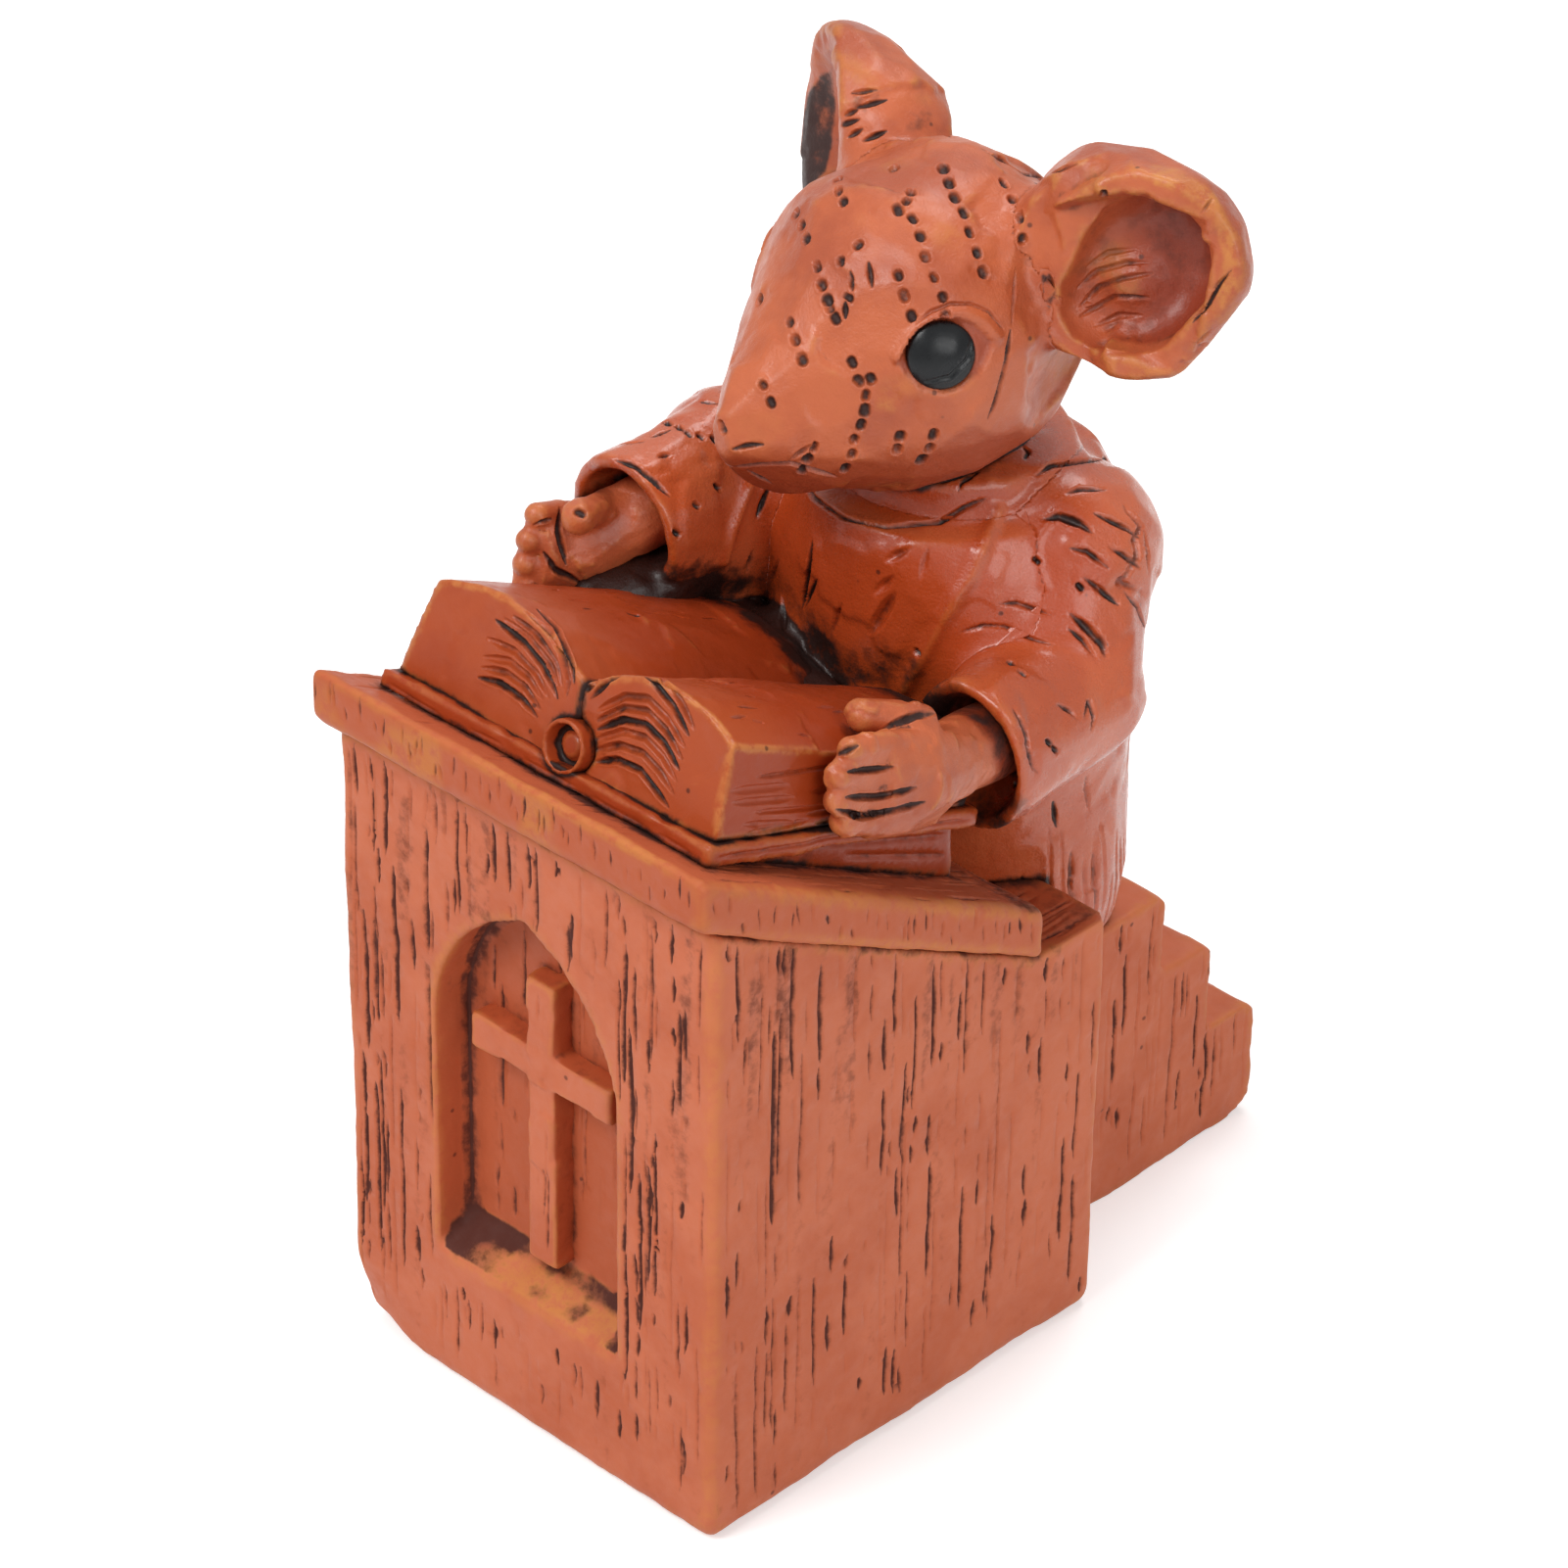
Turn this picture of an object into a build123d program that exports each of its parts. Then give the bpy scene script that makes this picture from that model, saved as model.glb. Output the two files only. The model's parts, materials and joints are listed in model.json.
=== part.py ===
"""Mouse reading at a pulpit: a cast ornament, built as castings that are pegged and glued together.

Millimetres. +Z is up and the mouse faces -Y. The origin is the centre of the pulpit's underside.
Left and right are the mouse's own, so its left side is +X.
"""

import os
from math import cos, radians, sin, tan

from build123d import *

# Pulpit case
case_width = 38.6
case_depth = 41.8
case_ledge_height = 36.0
case_ledge_depth = 7.9
case_corner_radius = 1.2
case_foot_bevel = 1.0

# Arched niche in the front of the case, with its cross
niche_width = 19.0
niche_sill_height = 12.0
niche_straight_height = 21.0
niche_arch_rise = 12.8
niche_depth = 3.5
cross_bar_width = 2.9
cross_height = 25.0
cross_span = 14.4
cross_foot_gap = 2.8
cross_arm_height = 17.6
cross_relief = 1.9
cross_peg_radius = 0.9
cross_peg_length = 2.0

# Sloping desk board
board_angle = 28.0
board_thickness = 4.0
board_front_overhang = 1.9
board_side_overhang = 0.7
board_edge_radius = 0.7
board_end_radius = 1.4
board_peg_radius = 2.0
board_peg_length = 5.0
board_peg_spacing = 20.0

# Steps behind the pulpit
stair_width = 23.0
stair_shift = 0.3
landing_drop = 9.6
stair_depth = 28.4
stair_nosing_radius = 1.5
stair_foot_radius = 2.4
stair_peg_radius = 1.8
stair_peg_length = 4.0
stair_peg_spacing = 11.0
stair_peg_height = 13.0

# Open book on its rest
book_angle = 18.5
book_setback = 3.8
book_length = 29.0
cover_width = 33.2
cover_thickness = 1.4
cover_dip = 0.7
rest_inset = 2.0
page_length = 27.0
page_gutter_height = 5.9
page_crest_height = 8.6
left_page_edge_height = 7.0
right_page_edge_height = 7.8
left_page_edge_inset = 0.5
right_page_edge_inset = 1.9
page_rear_drop = 3.2
page_overhang = 0.5
spine_shift = 1.4
spine_radius = 2.0
spine_bore_radius = 1.0

# Robe and collar
robe_half_width = 13.5
robe_half_depth = 12.0
robe_height = 39.5
robe_setback = 4.4
robe_peg_radius = 3.0
robe_peg_length = 6.0
collar_half_width = 9.2
collar_half_depth = 8.7
collar_height = 3.2
collar_edge_radius = 0.8

# Sleeves
cuff_half_width = 5.2
left_cuff_half_height = 6.2
right_cuff_half_height = 5.6
cuff_wall = 1.1
cuff_pocket_depth = 4.0
shoulder_radius = 7.5
elbow_radius = 5.5
shoulder_out = 8.7
shoulder_drop = 5.0
shoulder_back = 2.4
left_elbow_out = 14.0
left_elbow_lift = 0.6
right_elbow_out = 14.8
right_elbow_lift = 1.0
left_sleeve_hang = 0.8
right_sleeve_hang = 9.0
sleeve_peg_radius = 1.6
sleeve_peg_length = 5.0

# Paws on the edges of the book
paw_length = 7.0
paw_half_thickness = 2.0
paw_half_height = 4.0
paw_out = 0.9
finger_radius = 1.05
thumb_length = 6.0
thumb_radius = 1.25
wrist_radius = 2.8
wrist_inset = 2.0
wrist_peg_radius = 1.2
wrist_peg_length = 3.0
left_paw_along = 18.5
left_paw_height = 5.0
left_finger_length = 6.2
left_wrist_length = 10.2
left_wrist_rise = -0.4
right_paw_along = 17.6
right_paw_height = 8.8
right_finger_length = 2.6
right_wrist_length = 2.2
right_wrist_rise = 3.0

# Head, turned a little to the mouse's right
head_length = 30.7
head_half_width = 11.7
head_half_height = 11.8
head_back = 8.2
head_lift = 10.7
head_setback = 0.76
head_turn = 7.0
head_lean = 4.0
neck_radius = 3.0
neck_peg_length = 5.0

# Ears
ear_half_width = 7.8
ear_half_height = 8.4
ear_depth = 8.5
ear_rim = 1.9
ear_bowl_depth = 3.0
ear_spread = 17.6
left_ear_rise = 7.6
right_ear_rise = 6.2
ear_back = 0.9
ear_splay = 31.0
ear_tilt = 8.0
ear_peg_radius = 1.5
ear_peg_length = 3.5

# Eyes: domed plugs let into the head
eye_radius = 2.45
eye_dome_radius = 4.5
eye_dome_height = 0.6
eye_depth = 3.0
eye_spread = 9.95
eye_forward = 10.6
eye_rise = 1.7
eye_splay = 62.0
eye_tilt = 12.0

# Fits
fit_gap = 0.05
peg_root = 1.5
overrun = 1.0

# Share tables: each row follows one section or one point
stair_tread_shares = (
    # reach of the nosing from the case, height
    (1.0, 0.4),
    (0.792, 0.72),
    (0.581, 1.0),
)
robe_section_shares = (
    # height, half width, half depth, step towards the front
    (0.0, 0.84, 1.0, 0.0),
    (0.25, 1.0, 1.0, 0.02),
    (0.53, 1.04, 1.03, 0.06),
    (0.76, 1.12, 1.03, 0.14),
    (0.9, 1.0, 1.03, 0.15),
    (1.0, 0.82, 0.95, 0.165),
)
head_section_shares = (
    # length from the back, half width, half height, rise of the centre
    (0.0, 0.2, 0.19, 0.12),
    (0.035, 0.42, 0.39, 0.09),
    (0.085, 0.65, 0.62, 0.06),
    (0.153, 0.83, 0.8, 0.03),
    (0.302, 0.98, 1.0, 0.0),
    (0.45, 1.0, 0.99, -0.044),
    (0.599, 0.93, 0.94, -0.063),
    (0.733, 0.68, 0.73, -0.167),
    (0.852, 0.44, 0.53, -0.28),
    (0.941, 0.25, 0.33, -0.31),
    (1.0, 0.1, 0.13, -0.27),
)
ear_section_shares = (
    # depth from the rim, half width, half height, step towards the head
    (0.0, 1.0, 1.0, 0.0),
    (0.22, 1.12, 1.03, 0.1),
    (0.6, 1.02, 0.9, 0.3),
    (1.0, 0.72, 0.6, 0.52),
)
finger_height_shares = (0.78, 0.3, -0.18, -0.62)
finger_reach_shares = (0.9, 1.0, 0.92, 0.72)
palm_back_share = 0.9
palm_tip_share = 0.8
crest_place_share = 0.36
arm_root_share = 0.95
left_elbow_share = 0.716
right_elbow_share = 0.496

# Places worked out from the sizes
stair_height = case_ledge_height - landing_drop
ledge_y = case_depth / 2 - case_ledge_depth
board_front_y = -case_depth / 2 - board_front_overhang
board_slope = tan(radians(board_angle))
board_rise = board_thickness / cos(radians(board_angle))
robe_y = case_depth / 2 + robe_setback
neck_y = robe_y - robe_section_shares[-1][3] * robe_half_depth
collar_base_height = stair_height + robe_height
collar_top_height = collar_base_height + collar_height
book_front_y = board_front_y + book_setback


def board_underside(y):
    """Height of the board's underside, which is the top of the case, at a place along Y."""
    return case_ledge_height + board_slope * (ledge_y - y)


def board_top(y):
    return board_underside(y) + board_rise


def side_profile(points, width):
    """A solid of the given width whose side view has the given (y, z) corners."""
    return extrude(make_face(Plane.YZ * Polyline(*points, close=True)), width / 2, both=True)


def oval(plane, half_width, half_height):
    return plane * Ellipse(half_width, half_height)


def rod(start, direction, radius, length):
    """A round rod from a start point along a direction."""
    return extrude(Plane(origin=start, z_dir=direction) * Circle(radius), length)


def ball(centre, radius):
    """A ball whose poles lie across the figure."""
    return Pos(*centre) * Rot(0, 90, 0) * Sphere(radius)


def capsule(start, end, radius):
    """A finger: a rod with round ends."""
    span = Vector(*end) - Vector(*start)
    body = rod(start, span, radius, span.length)
    return body + Pos(*start) * Sphere(radius) + Pos(*end) * Sphere(radius)


def whole(shape):
    """The largest solid of a shape that cutting may have left with crumbs."""
    return max(shape.solids(), key=lambda solid: solid.volume)


# Book frame: x across, y from the front end along the book, z up from its underside
book_turn = Rot(-book_angle, 0, 0)
book_place = Pos(0, book_front_y, board_top(book_front_y)) * book_turn
book_forward = (book_turn * Pos(0, -1, 0)).position


def in_book(x, along, height):
    """A point of the book's own frame, in the frame of the whole part."""
    return (book_place * Pos(x, along, height)).position


# Head frame: x to the mouse's left, y backwards, z up, on the neck's axis
head_centre = Pos(0, neck_y + head_setback, collar_top_height + head_lift)
head_place = head_centre * Rot(0, 0, -head_turn) * Rot(0, -head_lean, 0)


# Pulpit case: a sloping block with the niche cut in its front
def make_case_block():
    corners = (
        (-case_depth / 2, 0),
        (case_depth / 2, 0),
        (case_depth / 2, case_ledge_height),
        (ledge_y, case_ledge_height),
        (-case_depth / 2, board_underside(-case_depth / 2)),
    )
    block = side_profile(corners, case_width)
    uprights = block.edges().filter_by(Axis.Z)
    block = fillet(uprights, case_corner_radius)
    foot = block.faces().sort_by(Axis.Z)[0].edges()
    return chamfer(foot, case_foot_bevel)


niche_front = Plane(origin=(0, -case_depth / 2, 0), x_dir=(1, 0, 0), z_dir=(0, -1, 0))
niche_spring_height = niche_sill_height + niche_straight_height
niche_apex_height = niche_spring_height + niche_arch_rise


def make_niche():
    half = niche_width / 2
    outline = [
        Line((-half, niche_sill_height), (half, niche_sill_height)),
        Line((half, niche_sill_height), (half, niche_spring_height)),
        TangentArc((half, niche_spring_height), (0, niche_apex_height), tangent=(0, 1)),
        TangentArc((-half, niche_spring_height), (0, niche_apex_height), tangent=(0, 1)),
        Line((-half, niche_spring_height), (-half, niche_sill_height)),
    ]
    face = make_face([niche_front * line for line in outline])
    return extrude(face, -niche_depth) + extrude(face, overrun)


niche_floor_y = -case_depth / 2 + niche_depth
cross_base_height = niche_sill_height + cross_foot_gap
cross_centre = (0, niche_floor_y, cross_base_height + cross_arm_height)


def make_cross():
    floor = Plane(origin=(0, niche_floor_y, 0), x_dir=(1, 0, 0), z_dir=(0, -1, 0))
    upright = Pos(0, cross_base_height + cross_height / 2) * Rectangle(cross_bar_width, cross_height)
    arms = Pos(0, cross_base_height + cross_arm_height) * Rectangle(cross_span, cross_bar_width)
    body = extrude(floor * (upright + arms), cross_relief)
    face = body.faces().sort_by(Axis.Y)[0]
    body = chamfer(face.edges(), cross_relief / 4)
    return body + rod(cross_centre, (0, 1, 0), cross_peg_radius, cross_peg_length)


cross_socket = rod(cross_centre, (0, 1, 0), cross_peg_radius + fit_gap, cross_peg_length + fit_gap)


# Desk board: front edge upright, rear end square to the slope and rounded
def make_board_plate():
    corners = (
        (board_front_y, board_underside(board_front_y)),
        (ledge_y, case_ledge_height),
        (ledge_y, board_top(ledge_y)),
        (board_front_y, board_top(board_front_y)),
    )
    plate = side_profile(corners, case_width + 2 * board_side_overhang)
    across = plate.edges().filter_by(Axis.X).sort_by(Axis.Y)
    rear_top = across[2:].sort_by(Axis.Z)[-1]
    plate = fillet(rear_top, board_end_radius)
    front = plate.edges().filter_by(Axis.X).sort_by(Axis.Y)[:2]
    return fillet(front, board_edge_radius)


board_peg_places = [
    (side * board_peg_spacing / 2, 0, board_underside(0) + board_rise / 2) for side in (-1, 1)
]


def board_pegs(radius, length):
    return [rod(place, (0, 0, -1), radius, board_rise / 2 + length) for place in board_peg_places]


# Steps: one block, three treads, with rounded nosings
def make_stair_block():
    start = case_depth / 2
    treads = [(start + reach * stair_depth, rise * stair_height) for reach, rise in stair_tread_shares]
    corners = [(start, 0), (start + stair_depth, 0)]
    for (edge, top), inner in zip(treads, [*treads[1:], (start, stair_height)]):
        corners += [(edge, top), (inner[0], top)]
    block = Pos(-stair_shift, 0, 0) * side_profile(corners, stair_width)
    nosings = [
        line
        for line in block.edges().filter_by(Axis.X)
        for edge, top in treads
        if abs(line.center().Y - edge) < fit_gap and abs(line.center().Z - top) < fit_gap
    ]
    block = fillet(nosings, stair_nosing_radius)
    foot = block.edges().filter_by(Axis.X).sort_by(Axis.Z)[:2].sort_by(Axis.Y)[-1]
    return fillet(foot, stair_foot_radius)


stair_peg_places = [
    (side * stair_peg_spacing / 2 - stair_shift, case_depth / 2, stair_peg_height) for side in (-1, 1)
]


def stair_pegs(radius, length):
    roots = [(x, y + peg_root, z) for x, y, z in stair_peg_places]
    return [rod(root, (0, -1, 0), radius, peg_root + length) for root in roots]


# Book: rest, cover, two page blocks and the roll of the spine
def across_book(outline, length, start):
    """A solid along the book from a cross-section of (x, height) points and arcs."""
    plane = Plane(origin=(0, start, 0), x_dir=(1, 0, 0), z_dir=(0, -1, 0))
    face = make_face([plane * line for line in outline])
    return book_place * extrude(face, length, dir=(0, 1, 0))


def make_book_rest():
    rear = in_book(0, book_length, 0)
    corners = (
        (book_front_y, board_top(book_front_y)),
        (rear.Y, board_top(rear.Y)),
        (rear.Y, rear.Z),
    )
    return side_profile(corners, cover_width - 2 * rest_inset)


def make_cover():
    half = cover_width / 2
    top = cover_thickness
    dip = top - cover_dip
    middle = (spine_shift, dip)
    outline = [Polyline(middle, (-half, top), (-half, 0), (half, 0), (half, top), middle)]
    return across_book(outline, book_length, 0)


def page_outline(side, edge_height, edge_inset, along, drop):
    """The section of one half of the open pages, from the gutter over the crest to the fore-edge."""
    half = cover_width / 2 - page_overhang
    seat = cover_thickness - cover_dip
    top = cover_thickness - drop
    crest_x = spine_shift + side * (half - side * spine_shift) * crest_place_share
    gutter = (spine_shift, top + page_gutter_height)
    crest = (crest_x, top + page_crest_height)
    edge = (side * (half - edge_inset), top + edge_height)
    foot = (side * half, seat)
    plane = Plane(origin=(0, along, 0), x_dir=(1, 0, 0), z_dir=(0, -1, 0))
    outline = [
        Spline(gutter, crest, edge),
        Line(edge, foot),
        Line(foot, (spine_shift, seat)),
        Line((spine_shift, seat), gutter),
    ]
    return make_face([plane * line for line in outline])


def make_pages(side, edge_height, edge_inset):
    """One half of the open pages, which get lower towards the reader."""
    start = (book_length - page_length) / 2
    front = page_outline(side, edge_height, edge_inset, start, 0)
    rear = page_outline(side, edge_height, edge_inset, start + page_length, page_rear_drop)
    return book_place * loft([front, rear])


def make_spine_roll():
    start = in_book(spine_shift, 0, spine_radius + cover_thickness - cover_dip)
    end = in_book(spine_shift, book_length, spine_radius + cover_thickness - cover_dip)
    along = end - start
    roll = rod(tuple(start), along, spine_radius, book_length)
    hole = rod(tuple(start), along, spine_bore_radius, book_length)
    room = rod(tuple(start), along, spine_radius + fit_gap, book_length + fit_gap)
    return roll, hole, room


# Robe: a bell of oval sections that stands on the landing
def make_robe_bell():
    sections = []
    for height, wide, deep, step in robe_section_shares:
        centre = (0, robe_y - step * robe_half_depth, stair_height + height * robe_height)
        level = Plane(origin=centre, x_dir=(0, 1, 0))
        sections.append(oval(level, deep * robe_half_depth, wide * robe_half_width))
    return loft(sections)


def make_collar():
    base = Plane(origin=(0, neck_y, collar_base_height))
    band = extrude(oval(base, collar_half_width, collar_half_depth), collar_height)
    return fillet(band.edges().sort_by(Axis.Z)[-1], collar_edge_radius)


# Sleeves: shoulder, elbow and cuff joined by tapering tubes, with cloth that hangs below the elbow
def taper(start, end, start_radius, end_radius):
    """A round tube that tapers from one point to another."""
    first = Plane(origin=start, z_dir=end - start)
    last = Plane(origin=end, z_dir=end - start)
    return loft([first * Circle(start_radius), last * Circle(end_radius)])


def cuff_plane(elbow, cuff):
    along = (cuff - elbow).normalized()
    return Plane(origin=cuff, x_dir=Vector(1, 0, 0) - along * along.X, z_dir=along)


def make_sleeve(shoulder, elbow, cuff, half_height, hang):
    mouth = cuff_plane(elbow, cuff)
    arm_radius = arm_root_share * elbow_radius
    folds = []
    for joint in (shoulder, elbow):
        low = joint - mouth.y_dir * (hang / 2)
        level = Plane(origin=low, x_dir=mouth.x_dir, z_dir=mouth.z_dir)
        folds.append(oval(level, arm_radius, arm_radius + hang / 2))
    cloth = loft(folds) + loft([folds[1], oval(mouth, cuff_half_width, half_height)])
    upper = taper(shoulder, elbow, arm_root_share * shoulder_radius, arm_radius)
    return cloth + upper + ball(shoulder, shoulder_radius) + ball(elbow, elbow_radius)


def make_cuff_pocket(mouth, half_height):
    opening = oval(mouth, cuff_half_width - cuff_wall, half_height - cuff_wall)
    floor = oval(mouth.offset(-cuff_pocket_depth), wrist_radius + cuff_wall, wrist_radius + cuff_wall)
    return loft([floor, opening])


# Paws: a palm, four fingers along the fore-edge and a thumb on the page
def make_paw(side, along, height, finger_length):
    x = side * (cover_width / 2 + paw_out)
    back = Plane(origin=in_book(x, along + paw_length / 2, height), x_dir=(1, 0, 0), z_dir=book_forward)
    middle = back.offset(paw_length / 2)
    tip = back.offset(paw_length)
    back_oval = oval(back, paw_half_thickness * palm_back_share, paw_half_height * palm_back_share)
    middle_oval = oval(middle, paw_half_thickness, paw_half_height)
    tip_oval = oval(tip, paw_half_thickness * palm_tip_share, paw_half_height)
    paw = loft([back_oval, middle_oval, tip_oval])
    front = along - paw_length / 4
    for rise, reach in zip(finger_height_shares, finger_reach_shares):
        level = height + rise * paw_half_height
        knuckle = in_book(x, front, level)
        nail = in_book(x, front - reach * finger_length, level)
        paw += capsule(tuple(knuckle), tuple(nail), finger_radius)
    thumb_root = in_book(x - side * thumb_radius, along + thumb_length / 4, height + paw_half_height)
    thumb_tip = in_book(x - side * thumb_length / 2, along - thumb_length / 2, height + paw_half_height)
    paw += capsule(tuple(thumb_root), tuple(thumb_tip), thumb_radius)
    return paw


# Head: oval sections from the back of the skull to the tip of the nose
def make_head_mass():
    sections = []
    for way, wide, high, rise in head_section_shares:
        plane = Plane(
            origin=(0, head_back - way * head_length, rise * head_half_height),
            x_dir=(0, 0, -1),
            z_dir=(0, -1, 0),
        )
        sections.append(oval(plane, high * head_half_height, wide * head_half_width))
    return head_place * loft(sections)


def ear_plane(side, rise):
    """The plane of an ear's rim, facing out of the bowl, with its x axis away from the head."""
    turn = radians(ear_splay)
    tilt = radians(ear_tilt)
    facing = (side * sin(turn) * cos(tilt), -cos(turn) * cos(tilt), sin(tilt))
    away = (side * cos(turn), sin(turn), 0)
    return Plane(origin=(side * ear_spread, ear_back, rise), x_dir=away, z_dir=facing)


def make_ear_cup(side, rise):
    rim = ear_plane(side, rise)
    sections = []
    for depth, wide, high, step in ear_section_shares:
        centre = rim * Pos(-step * ear_half_width, 0, -depth * ear_depth)
        level = Plane(origin=centre.position, x_dir=rim.x_dir, z_dir=rim.z_dir)
        sections.append(oval(level, wide * ear_half_width, high * ear_half_height))
    return head_place * loft(sections)


def make_ear_bowl(side, rise):
    rim = ear_plane(side, rise)
    mouth = oval(rim, ear_half_width - ear_rim, ear_half_height - ear_rim)
    over = oval(rim.offset(overrun), ear_half_width - ear_rim, ear_half_height - ear_rim)
    floor = oval(rim.offset(-ear_bowl_depth), ear_half_width / 2, ear_half_height / 2)
    return head_place * (loft([floor, mouth]) + loft([mouth, over]))


def ear_peg(side, rise, radius, length):
    """A rod from the root of the ear towards the middle of the head."""
    start = Vector(side * (ear_spread - ear_half_width / 2), ear_depth / 2, rise)
    inward = Vector(-side * ear_spread, 0, -rise)
    return head_place * rod(tuple(start), inward, radius, length)


def eye_plane(side):
    """The plane where an eye meets the skin, facing out of the head."""
    turn = radians(eye_splay)
    tilt = radians(eye_tilt)
    facing = (side * sin(turn) * cos(tilt), -cos(turn) * cos(tilt), sin(tilt))
    return Plane(origin=(side * eye_spread, -eye_forward, eye_rise), z_dir=facing)


def make_eye(side):
    """A round plug with a domed face."""
    skin = eye_plane(side)
    plug = extrude(skin.offset(-eye_depth) * Circle(eye_radius), eye_depth + eye_dome_height)
    dome = skin.offset(eye_dome_height - eye_dome_radius) * Sphere(eye_dome_radius)
    return head_place * (plug & dome)


def eye_socket(side):
    floor = eye_plane(side).offset(-eye_depth - fit_gap)
    return head_place * extrude(floor * Circle(eye_radius + fit_gap), eye_depth + fit_gap + eye_radius)


sides = {"left": 1, "right": -1}
parts = {}

case_block = make_case_block()
board_plate = make_board_plate()
stair_solid = make_stair_block()
book_rest = make_book_rest()
book_cover = make_cover()
spine_roll, spine_hole, spine_room = make_spine_roll()
page_edges = {
    "left": (left_page_edge_height, left_page_edge_inset),
    "right": (right_page_edge_height, right_page_edge_inset),
}
page_blocks = {name: make_pages(sides[name], *page_edges[name]) for name in sides}
pages = {name: block - spine_roll for name, block in page_blocks.items()}
robe_bell = make_robe_bell()
robe_solid = robe_bell - case_block - board_plate - stair_solid - book_cover - book_rest - spine_room
for block in page_blocks.values():
    robe_solid -= block
robe_solid = whole(robe_solid)
collar_band = make_collar()
head_mass = make_head_mass()
head_solid = whole(head_mass - collar_band)

neck_start = (0, neck_y, collar_top_height + peg_root)
neck_length = peg_root + collar_height + neck_peg_length
neck = rod(neck_start, (0, 0, -1), neck_radius, neck_length)
neck_socket = rod(neck_start, (0, 0, -1), neck_radius + fit_gap, neck_length + fit_gap)

robe_peg_start = (0, robe_y, stair_height + peg_root)
robe_peg_reach = peg_root + robe_peg_length
robe_peg = rod(robe_peg_start, (0, 0, -1), robe_peg_radius, robe_peg_reach)
robe_socket = rod(robe_peg_start, (0, 0, -1), robe_peg_radius + fit_gap, robe_peg_reach + fit_gap)

paw_places = {
    "left": (left_paw_along, left_paw_height, left_finger_length),
    "right": (right_paw_along, right_paw_height, right_finger_length),
}
elbows = {
    "left": (left_elbow_out, left_elbow_share, left_elbow_lift),
    "right": (right_elbow_out, right_elbow_share, right_elbow_lift),
}
cuff_heights = {"left": left_cuff_half_height, "right": right_cuff_half_height}
hangs = {"left": left_sleeve_hang, "right": right_sleeve_hang}
wrists = {"left": (left_wrist_length, left_wrist_rise), "right": (right_wrist_length, right_wrist_rise)}
book_solids = [book_rest, book_cover, spine_roll, *pages.values()]
sleeve_peg_root = shoulder_radius - sleeve_peg_radius
sleeve_peg_reach = sleeve_peg_root + sleeve_peg_length

for name, side in sides.items():
    along, height, finger_length = paw_places[name]
    reach, rise = wrists[name]
    out, way, lift = elbows[name]
    shoulder = Vector(side * shoulder_out, neck_y + shoulder_back, collar_base_height - shoulder_drop)
    cuff = in_book(side * (cover_width / 2 - wrist_inset), along + reach, height + rise)
    elbow = Vector(side * out, cuff.Y + way * (shoulder.Y - cuff.Y), cuff.Z + lift)
    mouth = cuff_plane(elbow, cuff)
    sleeve = make_sleeve(shoulder, elbow, cuff, cuff_heights[name], hangs[name])
    sleeve -= make_cuff_pocket(mouth, cuff_heights[name])
    for block in (robe_solid, collar_band, head_solid, case_block, board_plate, *book_solids):
        sleeve -= block
    sleeve = whole(sleeve)
    peg_start = tuple(shoulder + Vector(side * sleeve_peg_root, 0, 0))
    peg = rod(peg_start, (-side, 0, 0), sleeve_peg_radius, sleeve_peg_reach)
    socket = rod(peg_start, (-side, 0, 0), sleeve_peg_radius + fit_gap, sleeve_peg_reach + fit_gap)
    hand = in_book(side * (cover_width / 2 + paw_out), along, height)
    floor = cuff - mouth.z_dir * cuff_pocket_depth
    wrist = rod(tuple(hand), floor - hand, wrist_radius, (floor - hand).length)
    wrist_peg = rod(tuple(floor), -mouth.z_dir, wrist_peg_radius, wrist_peg_length)
    wrist_socket = rod(
        tuple(floor), -mouth.z_dir, wrist_peg_radius + fit_gap, wrist_peg_length + fit_gap
    )
    paw = make_paw(side, along, height, finger_length) + wrist
    for block in (sleeve, robe_solid, board_plate, case_block, *book_solids):
        paw -= block
    parts[name + "_paw"] = whole(whole(paw) + wrist_peg)
    parts[name + "_sleeve"] = whole(sleeve - wrist_socket + peg)
    robe_solid -= socket

ear_rises = {"left": left_ear_rise, "right": right_ear_rise}
ear_peg_reach = ear_peg_length + ear_half_width / 2
for name, side in sides.items():
    rise = ear_rises[name]
    cup = make_ear_cup(side, rise) - make_ear_bowl(side, rise)
    peg = ear_peg(side, rise, ear_peg_radius, ear_peg_reach)
    socket = ear_peg(side, rise, ear_peg_radius + fit_gap, ear_peg_reach + fit_gap)
    parts[name + "_ear"] = whole(whole(cup - head_mass) + peg)
    parts[name + "_eye"] = make_eye(side)
    head_solid = head_solid - socket - eye_socket(side)

case = case_block - make_niche() - cross_socket
for socket in board_pegs(board_peg_radius + fit_gap, board_peg_length + fit_gap):
    case -= socket
for socket in stair_pegs(stair_peg_radius + fit_gap, stair_peg_length + fit_gap):
    case -= socket
board = board_plate
for peg in board_pegs(board_peg_radius, board_peg_length):
    board += peg
stair = stair_solid - robe_socket
for peg in stair_pegs(stair_peg_radius, stair_peg_length):
    stair += peg

parts["pulpit_case"] = case
parts["front_cross"] = make_cross()
parts["desk_board"] = board
parts["stair_block"] = stair
parts["book_rest"] = book_rest
parts["book_cover"] = book_cover - spine_roll
parts["spine_roll"] = spine_roll - spine_hole
for name, block in pages.items():
    parts[name + "_page_block"] = whole(block - book_cover)
parts["robe_body"] = whole(robe_solid - neck_socket + robe_peg)
parts["collar_band"] = collar_band - neck_socket
parts["head"] = whole(head_solid + neck)

os.makedirs("parts", exist_ok=True)
for name, solid in parts.items():
    export_step(solid, f"parts/{name}.step")
    box = solid.bounding_box()
    print(name, "volume", round(solid.volume), "box", box.min, box.max)
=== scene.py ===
import json
import math

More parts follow.
